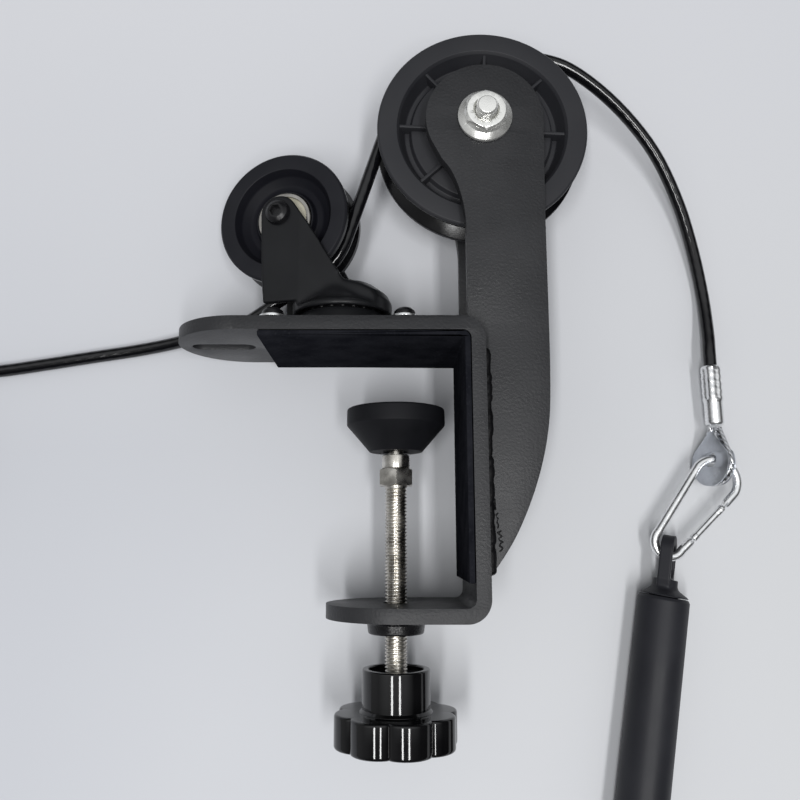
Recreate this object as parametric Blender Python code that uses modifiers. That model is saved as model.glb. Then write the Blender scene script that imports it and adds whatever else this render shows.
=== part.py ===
"""Wrist pulley trainer, lying on its side as it would on a bench.

A bent strap clamps to a table edge with a screw. A cable runs over a large pulley
held between two welded cheeks and under a small pulley in a swivelling fork, and
ends in carabiners, one of which holds a round handle.

Metres, +Z up. X is along the strap's arms, Y is along its upright and Z is across
its width. Positions are first given on the bench and the whole trainer is then
moved so that the middle of its footprint stands at the origin.
"""

import math

import bmesh
import bpy
from mathutils import Matrix, Vector

MM = 0.001
TOUCH = 0.3 * MM  # clear gap between pieces that touch

# The strap bent into a clamp frame
STRAP_WIDTH = 50 * MM
STRAP_THICKNESS = 5 * MM
MID_Z = STRAP_WIDTH / 2
UPRIGHT_X = 33 * MM  # outer face of the upright
ARM_TOP_Y = 77.2 * MM
ARM_TIP_X = -80 * MM
FOOT_ARM_Y = -27 * MM  # underside of the lower arm
BEND_OUTER = 8 * MM
BEND_INNER = BEND_OUTER - STRAP_THICKNESS
SLOT_LENGTH = 24 * MM
SLOT_WIDTH = 8 * MM
SLOT_X = -63.5 * MM
PAD_THICKNESS = 2 * MM
PAD_START_X = -46.7 * MM
PAD_END_Y = -14 * MM

# The clamp screw with its foot and knob
SCREW_X = 1.8 * MM
THREAD_RADIUS = 4 * MM
BALL_Y = 37 * MM
BALL_RADIUS = 5 * MM
FOOT_RADIUS = 18.2 * MM
KNOB_RADIUS = 21.9 * MM
KNOB_LOBES = 8

# The large pulley between its cheeks
PULLEY_X = 35.4 * MM
PULLEY_Y = 157 * MM
PULLEY_Z = 27.4 * MM
PULLEY_WIDTH = 17 * MM
PULLEY_RIBS = 8
CHEEK_RADIUS = 22.2 * MM
CHEEK_THICKNESS = 5 * MM
CHEEK_GAP = 26 * MM  # between the inner faces of the two cheeks
BOLT_RADIUS = 4 * MM

# The swivelling fork with the small pulley
SWIVEL_X = -18.6 * MM
SWIVEL_REST = math.radians(-14.5)
TRAIL = 22 * MM
AXLE_Y = 123.2 * MM
LEG_INNER = 11 * MM
LEG_THICKNESS = 2.5 * MM
BALLS = 8
BALL_TRACK = 13.5 * MM
CASTER_SCREW_X = (5 * MM, -43.4 * MM)
CASTER_SCREW_Z = (13 * MM, 37 * MM)
CASTER_SCREW_HOLE = 2.4 * MM
PLATE_TOP_Y = 79.5 * MM

# The ball bearings, 8 x 22 x 7
BEARING_OUTER = 11 * MM
BEARING_BORE = 4.3 * MM
BEARING_HALF = 3.5 * MM

# The cable with its end fittings
CABLE_RADIUS = 2.5 * MM
LARGE_WRAP = 36.9 * MM  # from the pulley's axis to the middle of the cable
SMALL_WRAP = 24.5 * MM
LAY_OFF = math.radians(88)  # where the cable leaves the large pulley
LEAVE_SMALL = math.radians(60)  # where it leaves the small one
CABLE_SPLIT_Y = 146 * MM  # above the small pulley's reach
FORK_CABLE_REACH = 33.3 * MM  # beyond the fork's reach
COIL_X = -206.5 * MM
COIL_Y = 30.7 * MM
COIL_RADIUS = 35.75 * MM
COIL_PITCH = 5.5 * MM
COIL_LOW_Z = 3.7 * MM
COIL_TURNS_IN = 2.75
COIL_TURNS_OUT = 3.0
CABLE_END_Z = 8.4 * MM
FERRULE_LENGTH = 23.9 * MM
WIRE_RADIUS = 1.4 * MM
EYE_RADIUS = 7.5 * MM  # of the wire loop's round end
EYE_REACH = 15.3 * MM  # from the ferrule to the middle of that end
EYE_ROLL = math.radians(-66)
EYE_LEAN = math.radians(-5)

# The carabiners and the handle
ROD_RADIUS = 1.7 * MM
GATE_RADIUS = 1.5 * MM
CARABINER_LARGE = 8.6 * MM
CARABINER_SMALL = 5.6 * MM
CARABINER_REACH = 30.2 * MM  # between the centres of its two round ends
GATE_TOP = 24.9 * MM
GATE_BOTTOM = 6.2 * MM
HANDLE_RADIUS = 9.4 * MM
HANDLE_LENGTH = 125 * MM
EYE_TILT = math.radians(-22)
HANDLE_TURN = math.radians(-9.9)
HANDLE_OFFSET = 0.1 * MM  # from the middle of the carabiner's small end
RIGHT_END = Vector((128.2 * MM, 68.5 * MM, CABLE_END_Z))  # where its ferrule begins
SMALL_END = Vector((106.6, -0.8, 9.4)) * MM
LARGE_END = Vector((126.0, 22.33, 9.4)) * MM
LEFT_SMALL_Z = 2.8 * MM  # the left carabiner's small end lies on the bench
LEFT_TILT = math.radians(10.7)


# Scene


def clear_scene():
    for old in list(bpy.data.objects):
        bpy.data.objects.remove(old)


def new_collection(name):
    found = bpy.data.collections.new(name)
    bpy.context.scene.collection.children.link(found)
    return found


clear_scene()
PARTS = new_collection("wrist_pulley_trainer")
CUTTERS = new_collection("cutters")


def material(name, colour, roughness, metallic=0.0):
    made = bpy.data.materials.new(name)
    made.use_nodes = True
    shader = made.node_tree.nodes["Principled BSDF"]
    shader.inputs["Base Color"].default_value = (*colour, 1)
    shader.inputs["Roughness"].default_value = roughness
    shader.inputs["Metallic"].default_value = metallic
    made.diffuse_color = (*colour, 1)
    return made


POWDER = material("black_powder_coat", (0.045, 0.046, 0.05), 0.6)
RUBBER = material("black_rubber", (0.012, 0.012, 0.013), 0.8)
NYLON = material("black_nylon", (0.035, 0.036, 0.04), 0.5)
SATIN = material("satin_black_steel", (0.022, 0.023, 0.026), 0.4, 0.2)
GLOSS = material("gloss_black_plastic", (0.008, 0.008, 0.009), 0.15)
ZINC = material("bright_zinc", (0.75, 0.76, 0.78), 0.25, 1.0)
NICKEL = material("nickel_screw", (0.62, 0.58, 0.53), 0.3, 1.0)
CREAM = material("bearing_seal", (0.68, 0.66, 0.58), 0.5)
JACKET = material("cable_jacket", (0.01, 0.01, 0.012), 0.2)
GRIP = material("handle_grip", (0.04, 0.04, 0.044), 0.45)


def empty(name, place, parent=None, turn=(0, 0, 0)):
    made = bpy.data.objects.new(name, None)
    made.empty_display_size = 0.01
    made.location = place
    made.rotation_euler = turn
    made.parent = parent
    PARTS.objects.link(made)
    return made


def add(name, mesh, finish, parent, place=(0, 0, 0), turn=(0, 0, 0)):
    """A named piece; one without a finish only cuts or joins another."""
    made = bpy.data.objects.new(name, mesh)
    made.location = place
    made.rotation_euler = turn
    made.parent = parent
    if finish:
        made.data.materials.append(finish)
        PARTS.objects.link(made)
    else:
        made.hide_render = True
        made.display_type = "WIRE"
        CUTTERS.objects.link(made)
    return made


ALONG_Y = (-math.pi / 2, 0, 0)  # turns local Z to +Y


# Shapes


def arc(centre_x, centre_y, radius, start, end, steps):
    """Points on an arc, with its angles in degrees."""
    found = []
    for step in range(steps + 1):
        angle = math.radians(start + (end - start) * step / steps)
        found.append((centre_x + radius * math.cos(angle), centre_y + radius * math.sin(angle)))
    return found


def stadium(length, width, centre=(0, 0), steps=8):
    """A flat outline with two round ends, long along X."""
    reach = (length - width) / 2
    right = arc(centre[0] + reach, centre[1], width / 2, -90, 90, steps)
    left = arc(centre[0] - reach, centre[1], width / 2, 90, 270, steps)
    return right + left


def flat_mesh(name, outlines, thickness):
    """A flat curve with holes, given its thickness and made a closed mesh."""
    curve = bpy.data.curves.new(name, "CURVE")
    curve.dimensions = "2D"
    curve.fill_mode = "BOTH"
    curve.extrude = thickness / 2
    for outline in outlines:
        spline = curve.splines.new("POLY")
        spline.points.add(len(outline) - 1)
        for point, (x, y) in zip(spline.points, outline):
            point.co = (x, y, 0, 1)
        spline.use_cyclic_u = True
    return meshed(name, curve)


def meshed(name, curve):
    """The closed mesh of a curve, with the curve removed."""
    guide = bpy.data.objects.new(name, curve)
    bpy.context.scene.collection.objects.link(guide)
    bpy.context.view_layer.update()
    graph = bpy.context.evaluated_depsgraph_get()
    mesh = bpy.data.meshes.new_from_object(guide.evaluated_get(graph))
    bpy.data.objects.remove(guide)
    body = bmesh.new()
    body.from_mesh(mesh)
    bmesh.ops.remove_doubles(body, verts=body.verts, dist=1e-6)
    bmesh.ops.recalc_face_normals(body, faces=body.faces)
    body.to_mesh(mesh)
    body.free()
    mesh.materials.clear()
    return mesh


def plate(name, outlines, thickness, finish, parent, place=(0, 0, 0), turn=(0, 0, 0)):
    return add(name, flat_mesh(name, outlines, thickness), finish, parent, place, turn)


def turned(name, profile, steps, finish, parent, place=(0, 0, 0), turn=(0, 0, 0), closed=True):
    """A profile of (radius, height) turned about local Z, outer side top to bottom."""
    mesh = bpy.data.meshes.new(name)
    points = [(r, 0, h) for r, h in profile]
    edges = [(i, i + 1) for i in range(len(points) - 1)]
    if closed:
        edges.append((len(points) - 1, 0))
    mesh.from_pydata(points, edges, [])
    made = add(name, mesh, finish, parent, place, turn)
    screw = made.modifiers.new("Turn", "SCREW")
    screw.steps = steps
    screw.render_steps = steps
    screw.use_merge_vertices = True
    screw.merge_threshold = 1e-5
    screw.use_smooth_shade = True
    return made


def prism(name, sides, radius, low, high, finish, parent, place=(0, 0, 0), turn=(0, 0, 0)):
    """A cylinder or a regular prism along local Z."""
    body = bmesh.new()
    bmesh.ops.create_cone(
        body, cap_ends=True, segments=sides, radius1=radius, radius2=radius, depth=high - low
    )
    bmesh.ops.translate(body, vec=(0, 0, (high + low) / 2), verts=body.verts)
    mesh = bpy.data.meshes.new(name)
    body.to_mesh(mesh)
    body.free()
    return add(name, mesh, finish, parent, place, turn)


def tube_mesh(name, points, radius, detail, cyclic=False):
    curve = bpy.data.curves.new(name, "CURVE")
    curve.dimensions = "3D"
    curve.bevel_depth = radius
    curve.bevel_resolution = detail
    curve.use_fill_caps = True
    spline = curve.splines.new("POLY")
    spline.points.add(len(points) - 1)
    for point, place in zip(spline.points, points):
        point.co = (*place, 1)
    spline.use_cyclic_u = cyclic
    return meshed(name, curve)


def tube(name, points, radius, detail, finish, parent, place=(0, 0, 0), turn=(0, 0, 0)):
    mesh = tube_mesh(name, points, radius, detail)
    return add(name, mesh, finish, parent, place, turn)


def smooth_route(points, spacing):
    """Evenly spaced points on a smooth curve, with the first and last stretch kept straight."""
    first, last = points[0], points[-1]
    way_in = (points[1] - first).normalized() * (points[2] - points[1]).length
    way_out = (last - points[-2]).normalized() * (points[-2] - points[-3]).length
    knots = [points[2] - 2 * way_in, *points[1:-1], points[-3] + 2 * way_out]
    fine = []
    for i in range(1, len(knots) - 2):
        a, b, c, d = knots[i - 1 : i + 3]
        for step in range(24):
            t = step / 24
            fine.append(
                0.5
                * (
                    2 * b
                    + (c - a) * t
                    + (2 * a - 5 * b + 4 * c - d) * t**2
                    + (3 * b - a - 3 * c + d) * t**3
                )
            )
    fine.append(knots[-2])
    lengths = [0.0]
    for a, b in zip(fine, fine[1:]):
        lengths.append(lengths[-1] + (b - a).length)
    count = max(2, round(lengths[-1] / spacing))
    found, at = [], 0
    for step in range(count + 1):
        wanted = lengths[-1] * step / count
        while at < len(fine) - 2 and lengths[at + 1] < wanted:
            at += 1
        share = (wanted - lengths[at]) / (lengths[at + 1] - lengths[at])
        found.append(fine[at].lerp(fine[at + 1], share))
    return [first, *found, last]


def combine(piece, other, how):
    step = piece.modifiers.new(how.title(), "BOOLEAN")
    step.operation = how
    step.object = other
    step.solver = "EXACT"
    return piece


def cut(piece, *others):
    for other in others:
        combine(piece, other, "DIFFERENCE")


def join(piece, *others):
    for other in others:
        combine(piece, other, "UNION")


def soften(piece, width, segments=1, angle=40):
    step = piece.modifiers.new("Bevel", "BEVEL")
    step.width = width
    step.segments = segments
    step.limit_method = "ANGLE"
    step.angle_limit = math.radians(angle)


def ring(inner, outer, low, high):
    """The closed profile of a plain ring."""
    return [(inner, high), (outer, high), (outer, low), (inner, low)]


trainer = empty("trainer", (0, 0, 0))


# Clamp frame


def frame_outline():
    inner_arm = ARM_TOP_Y - STRAP_THICKNESS
    foot_arm = FOOT_ARM_Y + STRAP_THICKNESS
    bend_x = UPRIGHT_X - BEND_OUTER
    top_bend = ARM_TOP_Y - BEND_OUTER
    foot_bend = FOOT_ARM_Y + BEND_OUTER
    foot_tip = SCREW_X - STRAP_WIDTH / 2
    outline = [(ARM_TIP_X, inner_arm), (ARM_TIP_X, ARM_TOP_Y)]
    outline += arc(bend_x, top_bend, BEND_OUTER, 90, 0, 6)
    outline += arc(bend_x, foot_bend, BEND_OUTER, 0, -90, 6)
    outline += [(foot_tip, FOOT_ARM_Y), (foot_tip, foot_arm)]
    outline += arc(bend_x, foot_bend, BEND_INNER, -90, 0, 4)
    outline += arc(bend_x, top_bend, BEND_INNER, 0, 90, 4)
    return outline


def tip_cutter(name, centre_x, low_y, high_y):
    """What a round tip leaves off the end of an arm: X runs on, local Y is down Z."""
    spare = 15 * MM
    half = STRAP_WIDTH / 2
    tip = centre_x - half
    outline = [(centre_x, -half - spare), *arc(centre_x, 0, half, 270, 90, 16)]
    outline += [(centre_x, half + spare), (tip - spare, half + spare), (tip - spare, -half - spare)]
    middle = (0, (low_y + high_y) / 2, MID_Z)
    return plate(name, [outline], high_y - low_y, None, trainer, middle, ALONG_Y)


def through_arm(name, outline, low_y, high_y, place_x=0.0, place_z=MID_Z):
    middle = (place_x, (low_y + high_y) / 2, place_z)
    return plate(name, [outline], high_y - low_y, None, trainer, middle, ALONG_Y)


def circle(radius, steps=24, centre=(0, 0)):
    return arc(centre[0], centre[1], radius, 0, 360 - 360 / steps, steps - 1)


def clamp_frame():
    bracket = plate("clamp_bracket", [frame_outline()], STRAP_WIDTH, POWDER, trainer, (0, 0, MID_Z))
    soften(bracket, 0.5 * MM)
    above, below = ARM_TOP_Y + 5 * MM, ARM_TOP_Y - STRAP_THICKNESS - 5 * MM
    foot_low, foot_high = FOOT_ARM_Y - 4 * MM, FOOT_ARM_Y + STRAP_THICKNESS + 4 * MM
    cut(
        bracket,
        tip_cutter("arm_tip_cutter", ARM_TIP_X + STRAP_WIDTH / 2, below, above),
        tip_cutter("foot_tip_cutter", SCREW_X, foot_low, foot_high),
        through_arm("slot_cutter", stadium(SLOT_LENGTH, SLOT_WIDTH, steps=6), below, above, SLOT_X),
        through_arm("screw_hole_cutter", circle(4.6 * MM, 16), foot_low, foot_high, SCREW_X),
    )
    for x in CASTER_SCREW_X:
        for z in CASTER_SCREW_Z:
            cut(bracket, through_arm("caster_hole_cutter", circle(CASTER_SCREW_HOLE, 12), below, above, x, z))


def jaw_pad():
    """Thin rubber bonded under the top arm and down the upright."""
    high = ARM_TOP_Y - STRAP_THICKNESS - TOUCH
    side = UPRIGHT_X - STRAP_THICKNESS - TOUCH
    bend_x, bend_y = UPRIGHT_X - BEND_OUTER, ARM_TOP_Y - BEND_OUTER
    back = BEND_INNER - TOUCH
    outline = [(PAD_START_X, high), *arc(bend_x, bend_y, back, 90, 0, 4)]
    outline += [(side, PAD_END_Y), (side - PAD_THICKNESS, PAD_END_Y)]
    outline += arc(bend_x, bend_y, back - PAD_THICKNESS, 0, 90, 3)
    outline += [(PAD_START_X, high - PAD_THICKNESS)]
    plate("jaw_pad", [outline], STRAP_WIDTH, RUBBER, trainer, (0, 0, MID_Z))


# Clamp screw


def clamp_screw_group():
    """The collar only travels, the screw also turns in it, and the foot tilts on the ball."""
    travel = empty("screw_travel", (SCREW_X, BALL_Y, MID_Z), trainer)
    spin = empty("knob_turn", (0, 0, 0), travel)
    tilt = empty("foot_tilt_x", (0, 0, 0), travel)
    roll = empty("foot_tilt_z", (0, 0, 0), tilt)

    profile = ring(4.6 * MM, 5.1 * MM, 26 * MM - BALL_Y, 30.7 * MM - BALL_Y)
    turned("screw_collar", profile, 20, ZINC, travel, turn=ALONG_Y)

    ball = arc(0, 0, BALL_RADIUS, 90, -56, 7)
    shoulder, hex_top, hex_bottom, end = (y * MM - BALL_Y for y in (30.5, 25.7, 19.4, -66))
    profile = [*ball, (2.8 * MM, shoulder), (4.3 * MM, shoulder), (4.3 * MM, hex_top - MM)]
    profile += [(THREAD_RADIUS, hex_top - 2 * MM), (THREAD_RADIUS, end), (0, end)]
    screw = turned("clamp_screw", profile, 20, NICKEL, spin, turn=ALONG_Y, closed=False)
    join(screw, prism("screw_hex", 6, 6.8 * MM, hex_bottom, hex_top, None, spin, turn=ALONG_Y))

    socket = [*arc(0, 0, 6.7 * MM, 90, -46, 6), *arc(0, 0, 5.3 * MM, -46, 90, 6)]
    turned("ball_socket", socket, 20, NYLON, tilt, turn=ALONG_Y, closed=False)

    top, rim, low = (y * MM - BALL_Y for y in (47.9, 41.8, 32.0))
    hollow = 7.0 * MM
    mouth = math.degrees(math.asin(low / hollow))
    profile = [(0, top), (FOOT_RADIUS - 0.6 * MM, top), (FOOT_RADIUS, top - 0.6 * MM)]
    profile += [(FOOT_RADIUS, rim), (9.75 * MM, low), *arc(0, 0, hollow, mouth, 90, 6)]
    turned("clamp_foot", profile, 32, NYLON, roll, turn=ALONG_Y, closed=False)
    return spin


def screw_nut():
    """A flanged nut welded under the lower arm."""
    high = FOOT_ARM_Y - TOUCH
    low = high - 5.3 * MM
    profile = [(4.3 * MM, high), (11.1 * MM, high), (11.1 * MM, high - 1.4 * MM)]
    profile += [(10.4 * MM, high - 1.9 * MM), (9.8 * MM, low), (4.3 * MM, low)]
    turned("screw_nut", profile, 24, POWDER, trainer, (SCREW_X, 0, MID_Z), ALONG_Y)


def knob(spin):
    """A hub with a shallow cup on top of a lobed disc, bored for the screw."""
    top, lip, disc, bottom = (y * MM - BALL_Y for y in (-44.4, -46.9, -58.5, -70.0))
    lobe_depth = 1.1 * MM
    outline = []
    for step in range(KNOB_LOBES * 6):
        angle = 2 * math.pi * step / (KNOB_LOBES * 6)
        swell = abs(math.cos(KNOB_LOBES / 2 * angle)) ** 0.6
        radius = KNOB_RADIUS - 2 * lobe_depth + 2 * lobe_depth * swell
        outline.append((radius * math.cos(angle), radius * math.sin(angle)))
    middle = (0, (disc + bottom) / 2, 0)
    body = plate("knob", [outline], disc - bottom, GLOSS, spin, middle, ALONG_Y)
    soften(body, 0.9 * MM, 1, 60)
    hub = [(0, lip), (9.6 * MM, lip), (9.6 * MM, top), (12 * MM - 0.6 * MM, top)]
    hub += [(12 * MM, top - 0.6 * MM), (12 * MM, bottom + 3 * MM), (0, bottom + 3 * MM)]
    join(body, turned("knob_hub", hub, 24, None, spin, turn=ALONG_Y, closed=False))
    screw_end = -66 * MM - BALL_Y
    bore = prism("knob_bore", 20, 4.3 * MM, screw_end - TOUCH, top + MM, None, spin, turn=ALONG_Y)
    cut(body, bore)


# Large pulley


def cheek_outline():
    """Round head, right edge running into a curved foot, and a left edge notched for the strap."""
    neck_x = 27.7 * MM
    bend_x, bend_y = UPRIGHT_X - BEND_OUTER, ARM_TOP_Y - BEND_OUTER
    back = BEND_OUTER + TOUCH
    notch = math.degrees(math.acos((neck_x - bend_x) / back))
    foot = [(57.5, 150), (56.9, 120), (56.6, 75), (56.4, 60), (55.9, 47), (54.9, 37.7)]
    foot += [(52.9, 27.9), (50, 18.2), (46.6, 9.5), (43.2, 2.3), (39.8, -3.5), (34.6, -11)]
    foot = [(x * MM, y * MM) for x, y in foot]
    shoulder = [(18.5, 141), (22.2, 136), (24.6, 130.5), (26.2, 125), (27.2, 119.5)]
    outline = arc(PULLEY_X, PULLEY_Y, CHEEK_RADIUS, 0, 207.8, 22)
    outline += [(x * MM, y * MM) for x, y in shoulder]
    outline += [(neck_x, 114 * MM), *arc(bend_x, bend_y, back, notch, 0, 4)]
    outline += [(UPRIGHT_X + TOUCH, -11 * MM), *reversed(foot)]
    return outline


def along_axle(name, profile, steps, finish, middle_z=MID_Z, closed=True):
    return turned(name, profile, steps, finish, trainer, (PULLEY_X, PULLEY_Y, middle_z), closed=closed)


def cheeks():
    hole = circle(BOLT_RADIUS + TOUCH, 20, (PULLEY_X, PULLEY_Y))
    offset = (CHEEK_GAP + CHEEK_THICKNESS) / 2
    for name, side in (("pulley_cheek_front", 1), ("pulley_cheek_rear", -1)):
        place = (0, 0, MID_Z + side * offset)
        plate(name, [cheek_outline(), hole], CHEEK_THICKNESS, POWDER, trainer, place)


def pulley_bolt():
    """Hexagon bolt from behind, with a flange nut in front and a spacer beside each bearing."""
    outer = CHEEK_GAP / 2 + CHEEK_THICKNESS + TOUCH
    head = 5.3 * MM
    end = 30 * MM
    chamfer = 0.9 * MM
    profile = [(0, end), (BOLT_RADIUS - chamfer, end), (BOLT_RADIUS, end - chamfer)]
    profile += [(BOLT_RADIUS, -outer - MM), (0, -outer - MM)]
    bolt = along_axle("pulley_bolt", profile, 20, ZINC, closed=False)
    place = (PULLEY_X, PULLEY_Y, MID_Z)
    join(bolt, prism("bolt_head", 6, 7.5 * MM, -outer - head, -outer, None, trainer, place))

    bore = BOLT_RADIUS + TOUCH
    skirt = [(0, outer + 4 * MM), (7.2 * MM, outer + 4 * MM), (10.25 * MM, outer + 1.3 * MM)]
    skirt += [(10.25 * MM, outer), (0, outer)]
    nut = along_axle("pulley_flange_nut", skirt, 24, ZINC, closed=False)
    hexagon = prism("nut_hexagon", 6, 8.4 * MM, outer + MM, outer + 8 * MM, None, trainer, place)
    hexagon.rotation_euler = (0, 0, math.pi / 2)
    join(nut, hexagon)
    cut(nut, prism("nut_bore", 16, bore, outer - MM, outer + 9 * MM, None, trainer, place))

    off = PULLEY_Z - MID_Z
    cheek, wheel = CHEEK_GAP / 2 - TOUCH, PULLEY_WIDTH / 2 + TOUCH
    along_axle("pulley_spacer_front", ring(bore, 6 * MM, off + wheel, cheek), 16, ZINC)
    along_axle("pulley_spacer_rear", ring(bore, 6 * MM, -cheek, off - wheel), 16, ZINC)


def mirrored(half):
    """A turned profile's front half, from bore to rim, with its rear half added."""
    return half + [(r, -h) for r, h in reversed(half)]


def large_pulley():
    """Dished and ribbed wheel with a round groove, on two bearings."""
    spin = empty("large_pulley_spin", (PULLEY_X, PULLEY_Y, PULLEY_Z), trainer)
    seat = (BEARING_OUTER + TOUCH) / MM
    half = PULLEY_WIDTH / 2
    face = half / MM
    profile = [(9.6, 1.2), (seat, 1.2), (seat, face), (14.6, face), (15.4, 2.6), (30.6, 2.6)]
    profile += [(32.3, face), (40.1, face), (40.8, face - 0.7), (40.8, 6.2), (36.5, 3.8), (34.1, 1.3)]
    profile = mirrored([(r * MM, h * MM) for r, h in profile])
    wheel = turned("large_pulley", profile, 32, NYLON, spin)
    rib_inner, rib_outer, rib_width = 13.2 * MM, 33.2 * MM, 1.3 * MM
    ribs = bmesh.new()
    for step in range(PULLEY_RIBS):
        turn = Matrix.Rotation(2 * math.pi * step / PULLEY_RIBS, 4, "Z")
        size = Matrix.Diagonal((rib_outer - rib_inner, rib_width, 2 * half - 3 * MM, 1))
        reach = Matrix.Translation(((rib_inner + rib_outer) / 2, 0, 0))
        bmesh.ops.create_cube(ribs, size=1, matrix=turn @ reach @ size)
    mesh = bpy.data.meshes.new("pulley_ribs")
    ribs.to_mesh(mesh)
    ribs.free()
    join(wheel, add("pulley_ribs", mesh, None, spin))
    for name, side in (("front", 1), ("rear", -1)):
        bearing("large", name, side, half - BEARING_HALF, spin, trainer_axle)


def bearing(size, name, side, offset, spinning, still):
    """Outer ring with its seal on the side that shows, and the inner ring on the axle."""
    height = side * offset
    outer = [(6.6, 3.1), (9.3, 3.1), (9.5, 3.5), (11, 3.5), (11, -3.5), (9.3, -3.5), (9.3, 2.6)]
    outer = [(r * MM, height + side * h * MM) for r, h in [*outer, (6.6, 2.6)]]
    if side < 0:
        outer.reverse()
    turned(f"{size}_bearing_outer_{name}", outer, 20, CREAM, spinning)
    inner = ring(BEARING_BORE, 6 * MM, height - BEARING_HALF, height + BEARING_HALF)
    turned(f"{size}_bearing_inner_{name}", inner, 16, ZINC, still)


trainer_axle = empty("trainer_axle", (PULLEY_X, PULLEY_Y, PULLEY_Z), trainer)


# Swivelling fork


def caster_plate():
    """Fixed plate with the lower ball race, screwed on the top arm."""
    centre = (SWIVEL_X, (PLATE_TOP_Y + ARM_TOP_Y + TOUCH) / 2, MID_Z)
    half_x, half_z, corner = 30 * MM, 17.5 * MM, 4 * MM
    outline = []
    for x, z, start in ((1, 1, 0), (-1, 1, 90), (-1, -1, 180), (1, -1, 270)):
        corner_x, corner_z = x * (half_x - corner), z * (half_z - corner)
        outline += arc(corner_x, corner_z, corner, start, start + 90, 3)
    holes = [circle(8 * MM, 16)]
    for x in CASTER_SCREW_X:
        for z in CASTER_SCREW_Z:
            holes.append(circle(CASTER_SCREW_HOLE, 12, (x - SWIVEL_X, MID_Z - z)))
    thickness = PLATE_TOP_Y - ARM_TOP_Y - TOUCH
    fixed = plate("caster_plate", [outline, *holes], thickness, SATIN, trainer, centre, ALONG_Y)
    race = [(5.3, 83.2), (11.2, 83.2), (12.4, 82.1), (14.6, 82.1), (15.8, 83.2), (16.6, 83.2)]
    race += [(17.5, 82.2), (17.5, 78.6), (5.3, 78.6)]
    race = [(r * MM, y * MM) for r, y in race]
    place = (SWIVEL_X, 0, MID_Z)
    join(fixed, turned("lower_race", race, 24, None, trainer, place, ALONG_Y))

    pin = [(0, 98), (4.8, 98), (6, 97.2), (6, 96.4), (5, 96.4), (5, 77.6), (0, 77.6)]
    pin = [(r * MM, y * MM) for r, y in pin]
    turned("swivel_kingpin", pin, 20, SATIN, trainer, place, ALONG_Y, closed=False)


def caster_screws():
    """Button-head screws with washers, tapped into the arm."""
    washer_low = PLATE_TOP_Y + TOUCH
    washer_high = washer_low + 0.9 * MM
    head = washer_high + TOUCH
    high = head + 2.5 * MM
    end = ARM_TOP_Y - STRAP_THICKNESS + 0.4 * MM
    profile = [(0, high), (2 * MM, high), (3.4 * MM, high - 0.7 * MM), (4.1 * MM, head + 0.5 * MM)]
    profile += [(4.1 * MM, head), (2 * MM, head), (2 * MM, end), (0, end)]
    number = 0
    for x in CASTER_SCREW_X:
        for z in CASTER_SCREW_Z:
            number += 1
            place = (x, 0, z)
            turned(f"caster_screw_{number}", profile, 12, SATIN, trainer, place, ALONG_Y, closed=False)
            washer = ring(CASTER_SCREW_HOLE, 5 * MM, washer_low, washer_high)
            turned(f"caster_washer_{number}", washer, 14, ZINC, trainer, place, ALONG_Y)


def ball_ring():
    """The swivel's balls in their cage."""
    height = 84.6 * MM
    place = (SWIVEL_X, height, MID_Z)
    cage = ring(BALL_TRACK - 0.9 * MM, BALL_TRACK + 0.9 * MM, -0.5 * MM, 0.5 * MM)
    cage = turned("swivel_ball_ring", cage, 16, ZINC, trainer, place, ALONG_Y)
    balls = bmesh.new()
    for step in range(BALLS):
        angle = 2 * math.pi * step / BALLS
        spot = Matrix.Translation((BALL_TRACK * math.cos(angle), BALL_TRACK * math.sin(angle), 0))
        bmesh.ops.create_icosphere(balls, subdivisions=2, radius=1.9 * MM, matrix=spot)
    mesh = bpy.data.meshes.new("swivel_balls")
    balls.to_mesh(mesh)
    balls.free()
    join(cage, add("swivel_balls", mesh, None, trainer, place, ALONG_Y))


def leg_outline():
    """Nearly upright rear edge, round head about the axle, and a slanted front edge."""
    head = 7.2 * MM
    rear = [(-27.2, 87.7), (-27.9, 94), (-28.6, 108)]
    front = [(-10.6, 119.1), (-5.7, 111.2), (-0.4, 102), (5.5, 93.2), (9.5, 90.5), (9.5, 87.7)]
    outline = [(x * MM, y * MM) for x, y in rear]
    outline += arc(-TRAIL, AXLE_Y, head, 180, 36, 8)
    return outline + [(x * MM, y * MM) for x, y in front]


def crown_flare(swivel):
    """What the crown leaves off outside the legs, where it falls away to a thin rim."""
    flare = [(14.8, 99), (21, 99), (21, 84.8), (19, 85.6), (17, 86.6), (15.6, 88.2), (14.8, 90.4)]
    flare = [(r * MM, y * MM) for r, y in flare]
    cutter = turned("crown_flare_cutter", flare, 24, None, swivel, turn=ALONG_Y)
    reach = 25 * MM
    low, high = 80 * MM, 102 * MM
    between = [(-reach, low), (reach, low), (reach, high), (-reach, high)]
    thickness = 2 * (LEG_INNER + LEG_THICKNESS) - 0.4 * MM
    cut(cutter, plate("crown_between_legs", [between], thickness, None, swivel))
    return cutter


def fork(swivel):
    crown = [(5.3, 96.1), (7, 96.1), (12.7, 94.9), (17.6, 91.1), (19, 88.2), (19, 83.5), (17.4, 83.5)]
    crown += [(17.4, 84.9), (15.8, 86.2), (14.6, 87), (5.3, 87)]
    crown = [(r * MM, y * MM) for r, y in crown]
    body = turned("swivel_fork", crown, 24, SATIN, swivel, turn=ALONG_Y)
    cut(body, crown_flare(swivel))
    axle_hole = circle(3.3 * MM, 16, (-TRAIL, AXLE_Y))
    for side in (1, -1):
        place = (0, 0, side * (LEG_INNER + LEG_THICKNESS / 2))
        leg = plate("fork_leg", [leg_outline(), axle_hole], LEG_THICKNESS, None, swivel, place)
        join(body, leg)


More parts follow.
